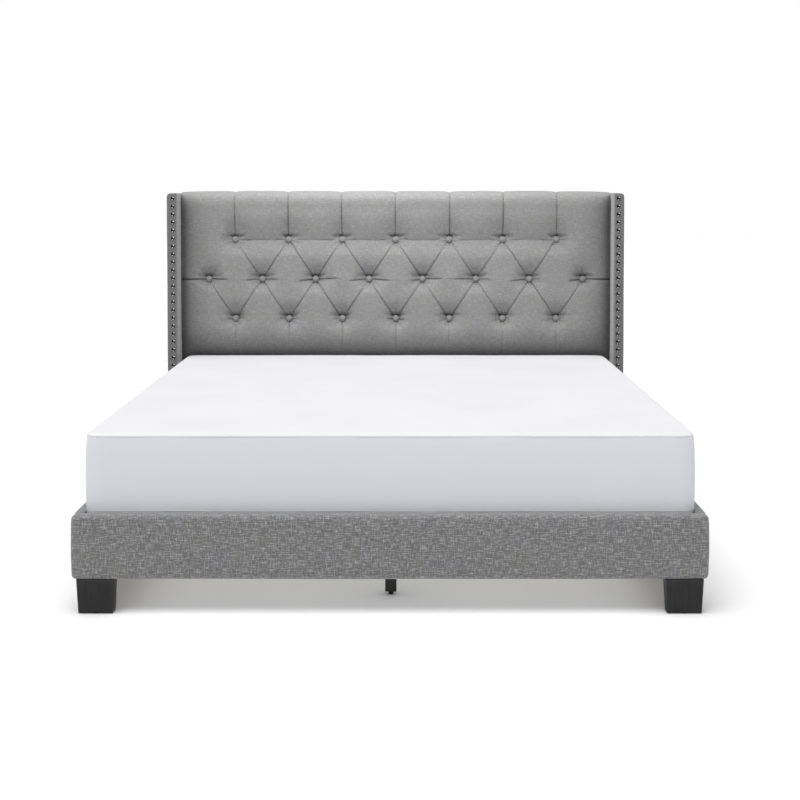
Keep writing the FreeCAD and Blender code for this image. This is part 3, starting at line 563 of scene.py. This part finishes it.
def make_piece(name, points, faces, material, slot, body=BED):
    """An object from points and faces, riding on a body, with its material and slot."""
    mesh = bpy.data.meshes.new(name)
    mesh.from_pydata([tuple(p) for p in points], [], faces)
    mesh.update()
    mesh.polygons.foreach_set("use_smooth", [True] * len(mesh.polygons))
    piece = bpy.data.objects.new(name, mesh)
    bpy.context.collection.objects.link(piece)
    mesh.materials.append(material)
    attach(piece, body)
    return piece


def grid_faces(rows, columns, start=0, flip=False):
    """Quads over a rows x columns block of points."""
    faces = []
    for i in range(rows - 1):
        for j in range(columns - 1):
            a = start + i * columns + j
            quad = (a, a + 1, a + columns + 1, a + columns)
            faces.append(quad[::-1] if flip else quad)
    return faces


def stations(low, high, radius, step):
    """Places along a side: closer together where the edges are rounded."""
    count = max(2, int(round((high - low - 2 * radius) / step)))
    ease = radius * (1 - np.cos(np.linspace(0, math.pi / 2, 6)))[:-1]
    straight = np.linspace(low + radius, high - radius, count + 1)
    return np.concatenate([low + ease, straight, (high - ease)[::-1]])


def wavy(points, scale, seed):
    """Smooth repeatable noise of about -1 to 1 at an array of points."""
    total = np.zeros(len(points))
    dice = np.random.default_rng(seed)
    for octave in range(3):
        for _ in range(4):
            direction = dice.normal(size=3)
            direction *= 2 * math.pi * 2 ** octave / scale / np.linalg.norm(direction)
            total += np.sin(points @ direction + dice.uniform(0, 6.28)) / 4 / 1.7 ** octave
    return total


def soft_box(low, high, radius, step, crown, plan_radius=None, wrinkle=0.0, seed=1):
    """Points and faces of a box with rounded edges whose faces swell by crown (x, y, z)."""
    low, high = np.array(low, float), np.array(high, float)
    axes = [stations(low[a], high[a], radius, step) for a in range(3)]
    points, faces = [], []
    for fixed in range(3):
        u, v = [a for a in range(3) if a != fixed]
        grid_u, grid_v = np.meshgrid(axes[u], axes[v], indexing="ij")
        for end in (0, 1):
            block = np.zeros((grid_u.size, 3))
            block[:, u], block[:, v] = grid_u.ravel(), grid_v.ravel()
            block[:, fixed] = high[fixed] if end else low[fixed]
            flip = (end == 0) == (fixed != 1)
            faces += grid_faces(len(axes[u]), len(axes[v]), sum(len(p) for p in points), flip)
            points.append(block)
    points = np.concatenate(points)
    if plan_radius:
        points = rounded_plan(points, low, high, plan_radius)
        points = rounded_edges_z(points, low, high, radius, plan_radius)
    else:
        core = np.clip(points, low + radius, high - radius)
        out = points - core
        length = np.linalg.norm(out, axis=1, keepdims=True)
        points = core + out / np.maximum(length, 1e-9) * radius
    part = swollen(points, low, high, radius, crown)
    if wrinkle:
        outward = np.sign(part) * (np.abs(part) > 0.98)
        points += (wavy(points, 0.35, seed) * wrinkle)[:, None] * outward
    return points, faces


def swollen(points, low, high, radius, crown):
    """Moves points near a box's sides outward by crown, most in each side's middle.

    Returns where each point lay in the box, from -1 to 1 along each axis.
    """
    half = (high - low) / 2
    middle = (high + low) / 2
    part = np.clip((points - middle) / half, -1, 1)
    swell = np.sqrt(np.clip(1 - part ** 2, 0, 1))
    skin = radius * 1.5
    for axis in range(3):
        u, v = [a for a in range(3) if a != axis]
        reach = np.clip((np.abs(part[:, axis]) * half[axis] - (half[axis] - skin)) / skin, 0, 1)
        rise = swell[:, u] * swell[:, v]
        points[:, axis] += np.sign(part[:, axis]) * crown[axis] * rise * reach
    return part


def rounded_plan(points, low, high, radius):
    """Rounds the four upright corners of a box of points."""
    core = np.clip(points[:, :2], low[:2] + radius, high[:2] - radius)
    out = points[:, :2] - core
    reach = np.max(np.abs(out), axis=1, keepdims=True)
    length = np.linalg.norm(out, axis=1, keepdims=True)
    points[:, :2] = core + out / np.maximum(length, 1e-9) * reach
    return points


def rounded_edges_z(points, low, high, radius, plan_radius):
    """Rounds the upper and lower edges of a box whose upright corners are already round."""
    core = np.clip(points[:, :2], low[:2] + plan_radius, high[:2] - plan_radius)
    out = points[:, :2] - core
    length = np.linalg.norm(out, axis=1)
    inward = np.clip(length - (plan_radius - radius), 0, None)
    level = points[:, 2] - (low[2] + high[2]) / 2
    over = np.clip(np.abs(level) - ((high[2] - low[2]) / 2 - radius), 0, None)
    both = np.sqrt(inward ** 2 + over ** 2)
    scale = np.where(both > 1e-9, np.maximum(inward, over) / np.maximum(both, 1e-9), 1.0)
    direction = out / np.maximum(length, 1e-9)[:, None]
    points[:, :2] = points[:, :2] - direction * (inward * (1 - scale))[:, None]
    points[:, 2] -= np.sign(level) * over * (1 - scale)
    return points


def merged(piece):
    """Welds the doubled points where the patches of a piece meet."""
    gap = 0.05 * MM
    shape = bmesh.new()
    shape.from_mesh(piece.data)
    bmesh.ops.remove_doubles(shape, verts=shape.verts, dist=gap)
    bmesh.ops.recalc_face_normals(shape, faces=shape.faces)
    shape.to_mesh(piece.data)
    shape.free()
    piece.data.update()
    return piece


def lathe(profile, place, forward, turns):
    """Points and faces of a turned shape: profile is (radius, height) from rim to pole."""
    place, forward = np.array(place, float), np.array(forward, float)
    side = np.cross(forward, (0, 0, 1)) if abs(forward[2]) < 0.9 else np.array((1.0, 0, 0))
    side = side / np.linalg.norm(side)
    other = np.cross(forward, side)
    angles = np.linspace(0, 2 * math.pi, turns, endpoint=False)
    ring = np.cos(angles)[:, None] * side + np.sin(angles)[:, None] * other
    points = [place + radius * ring + height * forward for radius, height in profile[:-1]]
    points = np.concatenate(points + [np.array([place + profile[-1][1] * forward])])
    faces = []
    for row in range(len(profile) - 2):
        for step in range(turns):
            a, b = row * turns + step, row * turns + (step + 1) % turns
            faces.append((a, b, b + turns, a + turns))
    last = (len(profile) - 2) * turns
    faces += [(last + step, last + (step + 1) % turns, len(points) - 1) for step in range(turns)]
    faces.append(tuple(reversed(range(turns))))
    return points, faces


def gathered(parts):
    """Several (points, faces) shapes as one."""
    points, faces, start = [], [], 0
    for part_points, part_faces in parts:
        points.append(np.asarray(part_points))
        faces += [tuple(start + i for i in face) for face in part_faces]
        start += len(part_points)
    return np.concatenate(points), faces


# ------------------------------ tufted headboard

CROWN = 37 * MM
RECESS = BUTTON_HIGH[1] - 0.5 * MM
CROWN_FACE = COVER_LOW[1] - 2 * MM
TOP_ROUND = 30 * MM
LOW_ROUND = 20 * MM
HEM_LONG = 80 * MM
HEM_FLAT, HEM_EASE = 45 * MM, 60 * MM
ROLL_REACH, BAND_REACH = 125 * MM, 85 * MM

# round each button a dimple, a pocket above it and fine pucker folds; along each pleat a crease and a lap
DIMPLE_FLAT, DIMPLE_REACH = 11 * MM, 28 * MM
POCKET_HIGH, POCKET_HALF, POCKET_DEEP = 17 * MM, (40 * MM, 9 * MM), 9 * MM
CREASE_WIDE, LAP_SHARP, LAP_REACH = 3 * MM, 2 * MM, 11 * MM
PUCKER_HIGH = 3.4 * MM
FABRIC = 3 * MM


def rounded_top(y, turn_from, turn_to, count):
    """Points and outward directions round one of the pad's upper edges."""
    z = COVER_HIGH[2] - CROWN - TOP_ROUND
    turns = [(math.cos(turn), math.sin(turn)) for turn in np.linspace(turn_from, turn_to, count)]
    return [(y + TOP_ROUND * cosine, z + TOP_ROUND * sine, cosine, sine) for cosine, sine in turns]


def pad_profile(step):
    """(y, z, outward y, outward z) up the back hem, over the top, down the front and round its lower edge."""
    back = COVER_HIGH[1]
    top = COVER_HIGH[2] - CROWN
    quarter = math.pi / 2
    lines = [(back, z, 1, 0) for z in np.arange(top - HEM_LONG, top - TOP_ROUND, step)]
    lines += rounded_top(back - TOP_ROUND, 0, quarter, 9)
    lines += [(y, top, 0, 1) for y in np.arange(back - TOP_ROUND - step, RECESS + TOP_ROUND, -step)]
    lines += rounded_top(RECESS + TOP_ROUND, quarter, math.pi, 11)
    lines += [(RECESS, z, -1, 0) for z in np.arange(top - TOP_ROUND - step, COVER_LOW[2] + LOW_ROUND, -step)]
    for angle in np.linspace(0, quarter, 6):
        cosine, sine = math.cos(angle), math.sin(angle)
        y, z = RECESS + LOW_ROUND * (1 - cosine), COVER_LOW[2] + LOW_ROUND * (1 - sine)
        lines.append((y, z, -cosine, -sine))
    return np.array(lines)


def pleat(a, b, valley, width, cut, lap):
    """One pleat from a to b.

    valley: how deep it is at its start, middle and end, as shares of the crown. width: how wide, in mm.
    cut: how deep the crease is at each end, in mm. lap: how far one side laps over the other, in mm.
    """
    return {"a": a, "b": b, "valley": valley, "width": width * MM, "cut": cut, "lap": lap * MM}


def pleats():
    """Uprights over the top edge, diagonals between the rows, and short level folds beside the buttons."""
    half = BUTTON_PITCH / 2
    over_edge, below_pad, last_column = 0.60, 0.05, 0.8
    dice = np.random.default_rng(19)
    for x in (number * BUTTON_PITCH for number in range(-3, 4)):
        top, low = (x, ROW_TOP), (x, ROW_LOW)
        leaning = 2.6 * (1 if x < 0.1 else -1)
        yield pleat(top, (x, ROW_TOP + over_edge), (0.66, 0.18, 0.14), 24, (3.2, -4.6), leaning)
        for side in (-1, 1):
            middle = (x + side * half, ROW_MIDDLE)
            if abs(middle[0]) > last_column:
                yield pleat(top, middle, (0.20, 0.05, 0.60), 20, (0.4, 1.0), -side * 0.5)
            else:
                cut = (dice.uniform(0.5, 3.0), 3.4)
                yield pleat(top, middle, (0.20, 0.12, 0.60), 20, cut, -side * dice.uniform(1.2, 2.0))
            cut = (3.4, dice.uniform(0.5, 3.0))
            yield pleat(low, middle, (0.60, 0.12, 0.24), 20, cut, -side * dice.uniform(1.2, 2.0))
        yield pleat(low, (x, COVER_LOW[2] - below_pad), (0.30, 0.05, 0.0), 15, (1.2, 0.7), leaning * 0.4)
        for side in (-1, 1):
            reach = half * dice.uniform(0.26, 0.42)
            beside = (x + side * reach, ROW_LOW + dice.uniform(-5, 7) * MM)
            yield pleat(low, beside, (0.50, 0.24, 0.0), 13, (4.0, 0.0), -1.6 * side)
    for x in ((number + 0.5) * BUTTON_PITCH for number in range(-4, 4)):
        for side in (-1, 1):
            outermost = abs(x) > last_column and x * side > 0
            reach = COVER_HIGH[0] - abs(x) if outermost else half * dice.uniform(0.40, 0.85)
            rise = 0 if outermost else dice.uniform(-7, 6) * MM
            valley = (0.52, 0.24, 0.25 if outermost else 0.0)
            cut = (5.0, 4.0 if outermost else 0.5)
            yield pleat((x, ROW_MIDDLE), (x + side * reach, ROW_MIDDLE + rise), valley, 15, cut, -2.4 * side)


def along_segment(x, z, a, b):
    """Share of the way along a segment, signed distance from its line, and distance from the segment."""
    run = np.array(b) - np.array(a)
    length = np.linalg.norm(run)
    share = np.clip(((x - a[0]) * run[0] + (z - a[1]) * run[1]) / length ** 2, 0, 1)
    signed = ((x - a[0]) * run[1] - (z - a[1]) * run[0]) / length
    distance = np.hypot(x - a[0] - share * run[0], z - a[1] - share * run[1])
    return share, signed, distance


def tufted_height(x, z):
    """How far the padding stands out from its recess at each place, in metres."""
    filled = swelling(x, z)
    folds = np.zeros_like(x)
    for fold in pleats():
        share, signed, distance = along_segment(x, z, fold["a"], fold["b"])
        start, middle, end = fold["valley"]
        valley = middle + (start - middle) * np.clip(1 - 2 * share, 0, 1) ** 2
        valley += (end - middle) * np.clip(2 * share - 1, 0, 1) ** 2
        filled *= 1 - valley * np.exp(-distance / fold["width"])
        cut = np.clip(fold["cut"][0] + (fold["cut"][1] - fold["cut"][0]) * share, 0, None)
        folds -= cut * MM * np.exp(-(distance / CREASE_WIDE) ** 2)
        lapped = fold["lap"] * np.tanh(signed / LAP_SHARP) * np.exp(-distance / LAP_REACH)
        folds += lapped * np.clip(cut, 0, 1)
    for bx, bz in button_places():
        across, upward = x - bx, z - bz
        r = np.hypot(across * 0.78, upward * np.where(upward > 0, 0.62, 1.1))
        filled *= 1 - np.exp(-(np.clip(r - DIMPLE_FLAT, 0, None) / DIMPLE_REACH) ** 1.15)
        pocket = np.hypot(across / POCKET_HALF[0], (upward - POCKET_HIGH) / POCKET_HALF[1])
        folds -= POCKET_DEEP * np.exp(-pocket ** 2)
    edge = np.clip(COVER_HIGH[0] - np.abs(x), 0, None)
    on_top = np.clip((z - 1250 * MM) / (70 * MM), 0, 1)
    filled *= 1 - (0.42 - 0.24 * on_top) * np.exp(-edge / ((28 + 30 * on_top) * MM))
    clear = np.ones_like(x)
    for bx, bz in button_places():
        clear *= 1 - np.exp(-(np.hypot(x - bx, z - bz) / (13 * MM)) ** 4)
    return CROWN * np.clip(filled, 0, None) + (folds + pucker(x, z)) * clear


def swelling(x, z):
    """The broad shape: a roll above the top row, which overhangs a band that starts further in."""
    over = z - ROW_TOP - 3 * MM * np.sin(2 * math.pi * (x / BUTTON_PITCH + 0.25))
    over -= 1.5 * MM * np.sin(31 * x + 1)
    above = np.clip(over / ROLL_REACH, 0, 1)
    between = 1 - np.cos(math.pi * x / BUTTON_PITCH) ** 2
    roll_start = 0.20 + 0.16 * between
    roll = roll_start + (1 - roll_start) * (1 - (1 - above) ** 2) ** 0.92
    roll -= 0.06 * np.sin(math.pi * np.clip((over - 100 * MM) / (115 * MM), 0, 1)) ** 2
    below = np.clip(-over / BAND_REACH, 0, 1)
    band_start = 0.04 + 0.34 * between
    band = band_start + (0.86 - band_start) * np.sin(below * math.pi / 2) ** 0.9
    creased = np.where(over > 0, roll, band)
    outside = np.clip((np.abs(x) - 3 * BUTTON_PITCH - 15 * MM) / (75 * MM), 0, 1)
    outside = outside * outside * (3 - 2 * outside)
    plain = 0.88 + 0.10 * np.clip(over / (120 * MM), 0, 1)
    low = np.clip((ROW_LOW - 15 * MM - z) / (165 * MM), 0, 1.3)
    return (creased * (1 - outside) + plain * outside) * (1 - 0.60 * low ** 1.7)


def pucker(x, z):
    """Small folds that fan out from each button."""
    total = np.zeros_like(x)
    dice = np.random.default_rng(7)
    for bx, bz in button_places():
        r = np.hypot(x - bx, z - bz)
        angle = np.arctan2(z - bz, x - bx)
        reach = np.exp(-r / (30 * MM)) * (1 - np.exp(-r / (12 * MM)))
        count, turn, wobble = dice.integers(7, 11), dice.uniform(0, 6.28), dice.uniform(0.4, 1.0)
        total += PUCKER_HIGH * reach * np.sin(count * angle + turn + wobble * np.sin(3 * angle + turn))
    return total


def headboard_surface(step):
    """The cover as a grid of points, with the rows' distances along the cloth, the columns' x and heights."""
    profile = pad_profile(step)
    side = COVER_HIGH[0]
    xs = stations(-side, side, 12 * MM, step)
    lengths = np.concatenate([[0], np.cumsum(np.hypot(np.diff(profile[:, 0]), np.diff(profile[:, 1])))])
    front_start = np.argmax((profile[:, 2] < -0.999) & (profile[:, 1] < COVER_HIGH[2] - CROWN - TOP_ROUND))
    heights = profile[front_start, 1] + (lengths[front_start] - lengths)
    rows, x = (grid.ravel() for grid in np.meshgrid(np.arange(len(profile)), xs, indexing="ij"))
    z = heights[rows]
    hem = np.clip((lengths[rows] - HEM_FLAT) / HEM_EASE, 0, 1)
    low_edge = np.clip((z - COVER_LOW[2]) / (40 * MM), 0, 1) ** 0.5
    slack = wavy(np.stack([x, z, np.zeros_like(x)], axis=1), 0.30, 3) * 1.2 * MM
    out = (tufted_height(x, z) * low_edge + slack) * hem
    y_out, z_out = (profile[rows, axis] + profile[rows, axis + 2] * out for axis in (0, 1))
    return np.stack([x, y_out, z_out], axis=1), lengths, xs, z


def pressed_out(points, faces, held, frames=16):
    """Where a cloth's points go when its filling presses on it, with the held ones kept in place."""
    scene = bpy.context.scene
    mesh = bpy.data.meshes.new("cloth_trial")
    mesh.from_pydata([tuple(p) for p in points], [], faces)
    trial = bpy.data.objects.new("cloth_trial", mesh)
    bpy.context.collection.objects.link(trial)
    pins = trial.vertex_groups.new(name="held")
    pins.add([int(i) for i in np.flatnonzero(held)], 1.0, "REPLACE")
    cloth = trial.modifiers.new("cloth", "CLOTH")
    settings = cloth.settings
    settings.quality = 4
    settings.mass = 0.3
    settings.tension_stiffness = 12
    settings.compression_stiffness = 12
    settings.shear_stiffness = 4
    settings.bending_stiffness = 0.4
    settings.use_pressure = True
    settings.uniform_pressure_force = 4
    settings.effector_weights.gravity = 0
    settings.vertex_group_mass = "held"
    cloth.collision_settings.use_collision = False
    for frame in range(1, frames + 1):
        scene.frame_set(frame)
    moved = trial.evaluated_get(bpy.context.evaluated_depsgraph_get()).to_mesh()
    after = np.empty(len(points) * 3)
    moved.vertices.foreach_get("co", after)
    bpy.data.objects.remove(trial)
    bpy.data.meshes.remove(mesh)
    scene.frame_set(1)
    return after.reshape(-1, 3)


def billow(lengths, xs):
    """How the tufted cover moves under pressure, worked out on a coarse grid and spread over a fine one."""
    points, rows, columns, z = headboard_surface(12 * MM)
    x = points[:, 0]
    held = np.zeros((len(rows), len(columns)), bool)
    held[:3], held[-3:], held[:, :2], held[:, -2:] = True, True, True, True
    held = held.ravel()
    for bx, bz in button_places():
        held |= np.hypot(x - bx, z - bz) < 22 * MM
    for fold in pleats():
        _, _, distance = along_segment(x, z, fold["a"], fold["b"])
        held |= distance < 7 * MM
    move = 0.5 * (pressed_out(points, grid_faces(len(rows), len(columns)), held) - points)
    reach = np.maximum(np.linalg.norm(move, axis=1, keepdims=True), 1e-9)
    furthest = 4.5 * MM
    move *= np.tanh(reach / furthest) * furthest / reach
    move = move.reshape(len(rows), len(columns), 3)
    for axis in (0, 1):
        move = (np.roll(move, 1, axis) + 2 * move + np.roll(move, -1, axis)) / 4
    spread = []
    for k in range(3):
        along = np.array([np.interp(lengths, rows, column) for column in move[:, :, k].T])
        spread.append([np.interp(xs, columns, row) for row in along.T])
    return np.array(spread).transpose(1, 2, 0).reshape(-1, 3)


def make_headboard(material):
    """Tufted cover over the whole pad, from the hem behind the top edge to the lower edge.

    It is eased flat where it would stand out past the pad's face or its back.
    """
    points, lengths, xs, _ = headboard_surface(3 * MM)
    points = points + billow(lengths, xs)
    soft = 1.5 * MM
    facing = points[:, 1] < CROWN_FACE + 40 * MM
    points[facing, 1] = np.logaddexp(points[facing, 1] / soft, CROWN_FACE / soft) * soft
    back = COVER_HIGH[1] + 1.0 * MM
    points[~facing, 1] = -np.logaddexp(-points[~facing, 1] / soft, -back / soft) * soft
    faces = grid_faces(len(lengths), len(xs))
    piece = make_piece("headboard_upholstery", points, faces, material, "heather_linen")
    # painted shade in the cover's folds and hollows, at full strength
    piece["painted_fold_shade"] = 1.0
    shell = piece.modifiers.new("cloth_thickness", "SOLIDIFY")
    shell.thickness = FABRIC
    shell.offset = -1
    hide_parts("headboard_cover", "headboard_foam")
    return piece


def make_buttons(material):
    """Cloth-covered buttons, each with a rolled rim and a slightly flattened crown."""
    radius = BUTTON_WIDE / 2 + 1.0 * MM
    profile = [(radius * 0.80, -3 * MM), (radius * 0.96, -1 * MM), (radius, 1.4 * MM),
               (radius * 0.97, 3.6 * MM), (radius * 0.86, 6.4 * MM), (radius * 0.66, 8.8 * MM),
               (radius * 0.36, 10.4 * MM), (0, 11 * MM)]
    seat = BUTTON_HIGH[1]
    shapes = [lathe(profile, (x, seat, z), (0, -1, 0), 28) for x, z in button_places()]
    piece = make_piece("headboard_tuft_buttons", *gathered(shapes), material, "heather_linen")
    # painted shade round the buttons, at about a third of full strength
    piece["painted_fold_shade"] = 0.35
    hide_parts("headboard_buttons")
    return merged(piece)


# ------------------------------ wings, footboard, rails

WING_ROUND = 17 * MM


def make_wing(side_name, side, material):
    """A padded wing with a rounded top outer corner."""
    low, high = corners(f"wing_{side_name}_cover")
    crown = (0.4 * MM, 1.0 * MM, 0.6 * MM)
    points, faces = soft_box(low, high, 6 * MM, 12 * MM, crown, wrinkle=0.4 * MM, seed=11 + side)
    outer = high[0] if side > 0 else -low[0]
    core = np.array([outer - WING_ROUND, high[2] - WING_ROUND])
    from_core = np.column_stack([points[:, 0] * side, points[:, 2]]) - core
    length = np.linalg.norm(np.clip(from_core, 0, None), axis=1)
    beyond = (np.min(from_core, axis=1) > 0) & (length > WING_ROUND)
    points[beyond, 0] = side * (core[0] + from_core[beyond, 0] * WING_ROUND / length[beyond])
    points[beyond, 2] = core[1] + from_core[beyond, 1] * WING_ROUND / length[beyond]
    piece = make_piece(f"wing_{side_name}_upholstery", points, faces, material, "heather_linen")
    # painted shade on the wing's front and outer faces, so that its inner face stays lighter
    piece["painted_side_shade"] = 0.42
    merged(piece)
    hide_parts(f"wing_{side_name}_cover", *(["wing_padding"] if side > 0 else []))
    return piece


def make_nails(side_name, material):
    """Domed nailheads in one row down the wing's front edge."""
    low, high = corners(f"wing_{side_name}_nailheads")
    proud = 1.6 * MM
    radius = (high[0] - low[0]) / 2 + proud
    pitch = 36.6 * MM
    count = int(round((high[2] - low[2]) / pitch - 0.4)) + 1
    profile = [(radius * 0.98, -0.5 * MM), (radius, 0.4 * MM), (radius * 0.97, 1.4 * MM),
               (radius * 0.86, 2.8 * MM), (radius * 0.66, 3.9 * MM), (radius * 0.36, 4.6 * MM), (0, 4.9 * MM)]
    middle, top = (low[0] + high[0]) / 2, high[2] + proud - radius
    places = [(middle, WING_FACE, top - pitch * number) for number in range(count)]
    shapes = [lathe(profile, place, (0, -1, 0), 20) for place in places]
    piece = make_piece(f"wing_{side_name}_nail_trim", *gathered(shapes), material, "polished_nails")
    merged(piece)
    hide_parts(f"wing_{side_name}_nailheads")


def make_footboard(material):
    """The padded foot end, fullest in the middle of its face."""
    low, high = corners("footboard_cover")
    crown = (5 * MM, 9 * MM, 1.5 * MM)
    points, faces = soft_box(low, high, 12 * MM, 12 * MM, crown, wrinkle=0.7 * MM, seed=5)
    piece = make_piece("footboard_upholstery", points, faces, material, "heather_linen")
    merged(piece)
    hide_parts("footboard_cover", "footboard_foam")


def make_rail(side_name, side, material):
    """A thinly padded side rail."""
    low, high = corners(f"side_rail_{side_name}_cover")
    crown = (1.0 * MM, 0, 0.6 * MM)
    points, faces = soft_box(low, high, 6 * MM, 14 * MM, crown, wrinkle=0.5 * MM, seed=21 + side)
    piece = make_piece(f"side_rail_{side_name}_upholstery", points, faces, material, "heather_linen")
    merged(piece)
    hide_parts(f"side_rail_{side_name}_cover")


# ------------------------------ mattress


def make_mattress(material):
    """The mattress with a bellied border, and its two seams: one at the top edge, one near the bottom."""
    low, high = corners("mattress_cover")
    radius, plan_radius, belly = 9 * MM, 42 * MM, 8 * MM
    crown = (2 * MM, 1 * MM, 5 * MM)
    points, faces = soft_box(low, high, radius, 22 * MM, crown, plan_radius, wrinkle=0.6 * MM, seed=31)
    bellied(points, low, high, plan_radius, belly)
    piece = make_piece("mattress_ticking", points, faces, material, "mattress_knit", MATTRESS)
    merged(piece)
    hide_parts("mattress_cover", "mattress_core", "mattress_bottom_panel")
    shapes = []
    for height, cord in ((high[2] - 7 * MM, 1.6 * MM), (low[2] + 62 * MM, 0.9 * MM)):
        outline = rounded_outline(low[:2], high[:2], plan_radius, 20 * MM)
        path = np.column_stack([outline, np.full(len(outline), height)])
        swollen(path, low, high, radius, crown)
        bellied(path, low, high, plan_radius, belly)
        shapes.append(loop_of_cord(path[:, :2], height, cord))
    make_piece("mattress_seams", *gathered(shapes), material, "mattress_knit", MATTRESS)


def bellied(points, low, high, radius, belly):
    """Moves the sides of a box with round upright corners outward, most at mid height."""
    out = points[:, :2] - np.clip(points[:, :2], low[:2] + radius, high[:2] - radius)
    part = np.clip((points[:, 2] - (low[2] + high[2]) / 2) / ((high[2] - low[2]) / 2), -1, 1)
    points[:, :2] += out / radius * (belly * np.sqrt(1 - part ** 2))[:, None]


def rounded_outline(low, high, radius, step):
    """Evenly spaced points round a rectangle with round corners."""
    middle, straight = (low + high) / 2, (high - low) / 2 - radius
    path = []
    for quarter, side in enumerate(((1, 1), (-1, 1), (-1, -1), (1, -1))):
        for turn in np.linspace(quarter, quarter + 1, 10) * math.pi / 2:
            path.append(middle + straight * side + radius * np.array([math.cos(turn), math.sin(turn)]))
    return evenly(np.array(path), step)


def evenly(path, step):
    """A closed path again, with points at even distances."""
    closed = np.vstack([path, path[:1]])
    run = np.concatenate([[0], np.cumsum(np.hypot(*np.diff(closed, axis=0).T))])
    places = np.linspace(0, run[-1], int(run[-1] / step), endpoint=False)
    return np.column_stack([np.interp(places, run, closed[:, k]) for k in (0, 1)])


def loop_of_cord(path, height, radius):
    """A closed tube along a level path."""
    sides = 8
    ahead = np.roll(path, -1, axis=0) - np.roll(path, 1, axis=0)
    outward = np.column_stack([ahead[:, 1], -ahead[:, 0]]) / np.linalg.norm(ahead, axis=1, keepdims=True)
    points = []
    for place, out in zip(path, outward):
        for turn in np.arange(sides) * 2 * math.pi / sides:
            points.append((*(place + out * radius * math.cos(turn)), height + radius * math.sin(turn)))
    faces = []
    for i in range(len(path)):
        after = (i + 1) % len(path)
        for k in range(sides):
            beside = (k + 1) % sides
            faces.append((i * sides + k, after * sides + k, after * sides + beside, i * sides + beside))
    return np.array(points), faces


# ------------------------------ back of the headboard


def make_dust_cover(material):
    """Thin cloth stretched over the open back of the headboard's frame."""
    low, high = corners("headboard_dust_cover")
    xs = np.linspace(low[0] + 2 * MM, high[0] - 2 * MM, 160)
    zs = np.linspace(low[2], high[2], 96)
    grid_x, grid_z = np.meshgrid(xs, zs, indexing="ij")
    x, z = grid_x.ravel(), grid_z.ravel()
    flat = np.stack([x, z, np.zeros_like(x)], axis=1)
    slack = wavy(flat, 0.5, 41) * 0.5 * MM
    front = np.stack([x, high[1] - 0.9 * MM + slack, z], axis=1)
    back = front - (0, 0.8 * MM, 0)
    faces = grid_faces(len(xs), len(zs)) + grid_faces(len(xs), len(zs), len(front), True)
    piece = make_piece("headboard_dust_cloth", np.concatenate([front, back]), faces, material, "dust_cloth")
    shape = bmesh.new()
    shape.from_mesh(piece.data)
    border = [edge for edge in shape.edges if edge.is_boundary]
    bmesh.ops.bridge_loops(shape, edges=border)
    bmesh.ops.recalc_face_normals(shape, faces=shape.faces)
    shape.to_mesh(piece.data)
    shape.free()
    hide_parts("headboard_dust_cover")


def make_staples(material):
    """A row of staples round the dust cloth, driven through it into the frame."""
    low, high = corners("headboard_dust_cover")
    inset = 14 * MM
    half = np.array([5.5 * MM, 0.5 * MM, 0.6 * MM])
    back = high[1] - 0.2 * MM
    places = []
    for x in np.arange(low[0] + 40 * MM, high[0] - 30 * MM, 62 * MM):
        places += [(x, low[2] + inset, half), (x, high[2] - inset, half)]
    for z in np.arange(low[2] + 60 * MM, high[2] - 40 * MM, 62 * MM):
        places += [(low[0] + inset, z, half[[2, 1, 0]]), (high[0] - inset, z, half[[2, 1, 0]])]
    shapes = []
    for x, z, size in places:
        middle = np.array([x, back, z])
        shapes.append(soft_box(middle - size, middle + size, 0.3 * MM, 6 * MM, (0, 0, 0)))
    make_piece("dust_cloth_staples", *gathered(shapes), material, "zinc_steel")


def make_apron(material):
    """The flat covered board below the headboard's pad."""
    low, high = corners("headboard_apron")
    points, faces = soft_box(low, high, 1.8 * MM, 20 * MM, (0, 0.4 * MM, 0), wrinkle=0.3 * MM, seed=51)
    piece = make_piece("headboard_apron_cloth", points, faces, material, "heather_linen")
    merged(piece)
    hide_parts("headboard_apron")


# ------------------------------ build

bpy.context.scene.view_settings.view_transform = "Standard"
make_camera()
KEY_LIGHT, FLOOR_FILL = make_lights()
lights_only(FLOOR_FILL, [make_floor()])
MATERIALS = make_materials()
dress_frame(MATERIALS)
LINEN = MATERIALS["heather_linen"]
lit = [make_headboard(LINEN), make_buttons(LINEN)]
for wing_name, wing_side in SIDES.items():
    lit.append(make_wing(wing_name, wing_side, LINEN))
    make_nails(wing_name, MATERIALS["polished_nails"])
    make_rail(wing_name, wing_side, LINEN)
make_footboard(LINEN)
make_apron(LINEN)
make_mattress(MATERIALS["mattress_knit"])
make_dust_cover(MATERIALS["dust_cloth"])
make_staples(MATERIALS["zinc_steel"])
lights_only(KEY_LIGHT, lit)

bpy.context.view_layer.update()
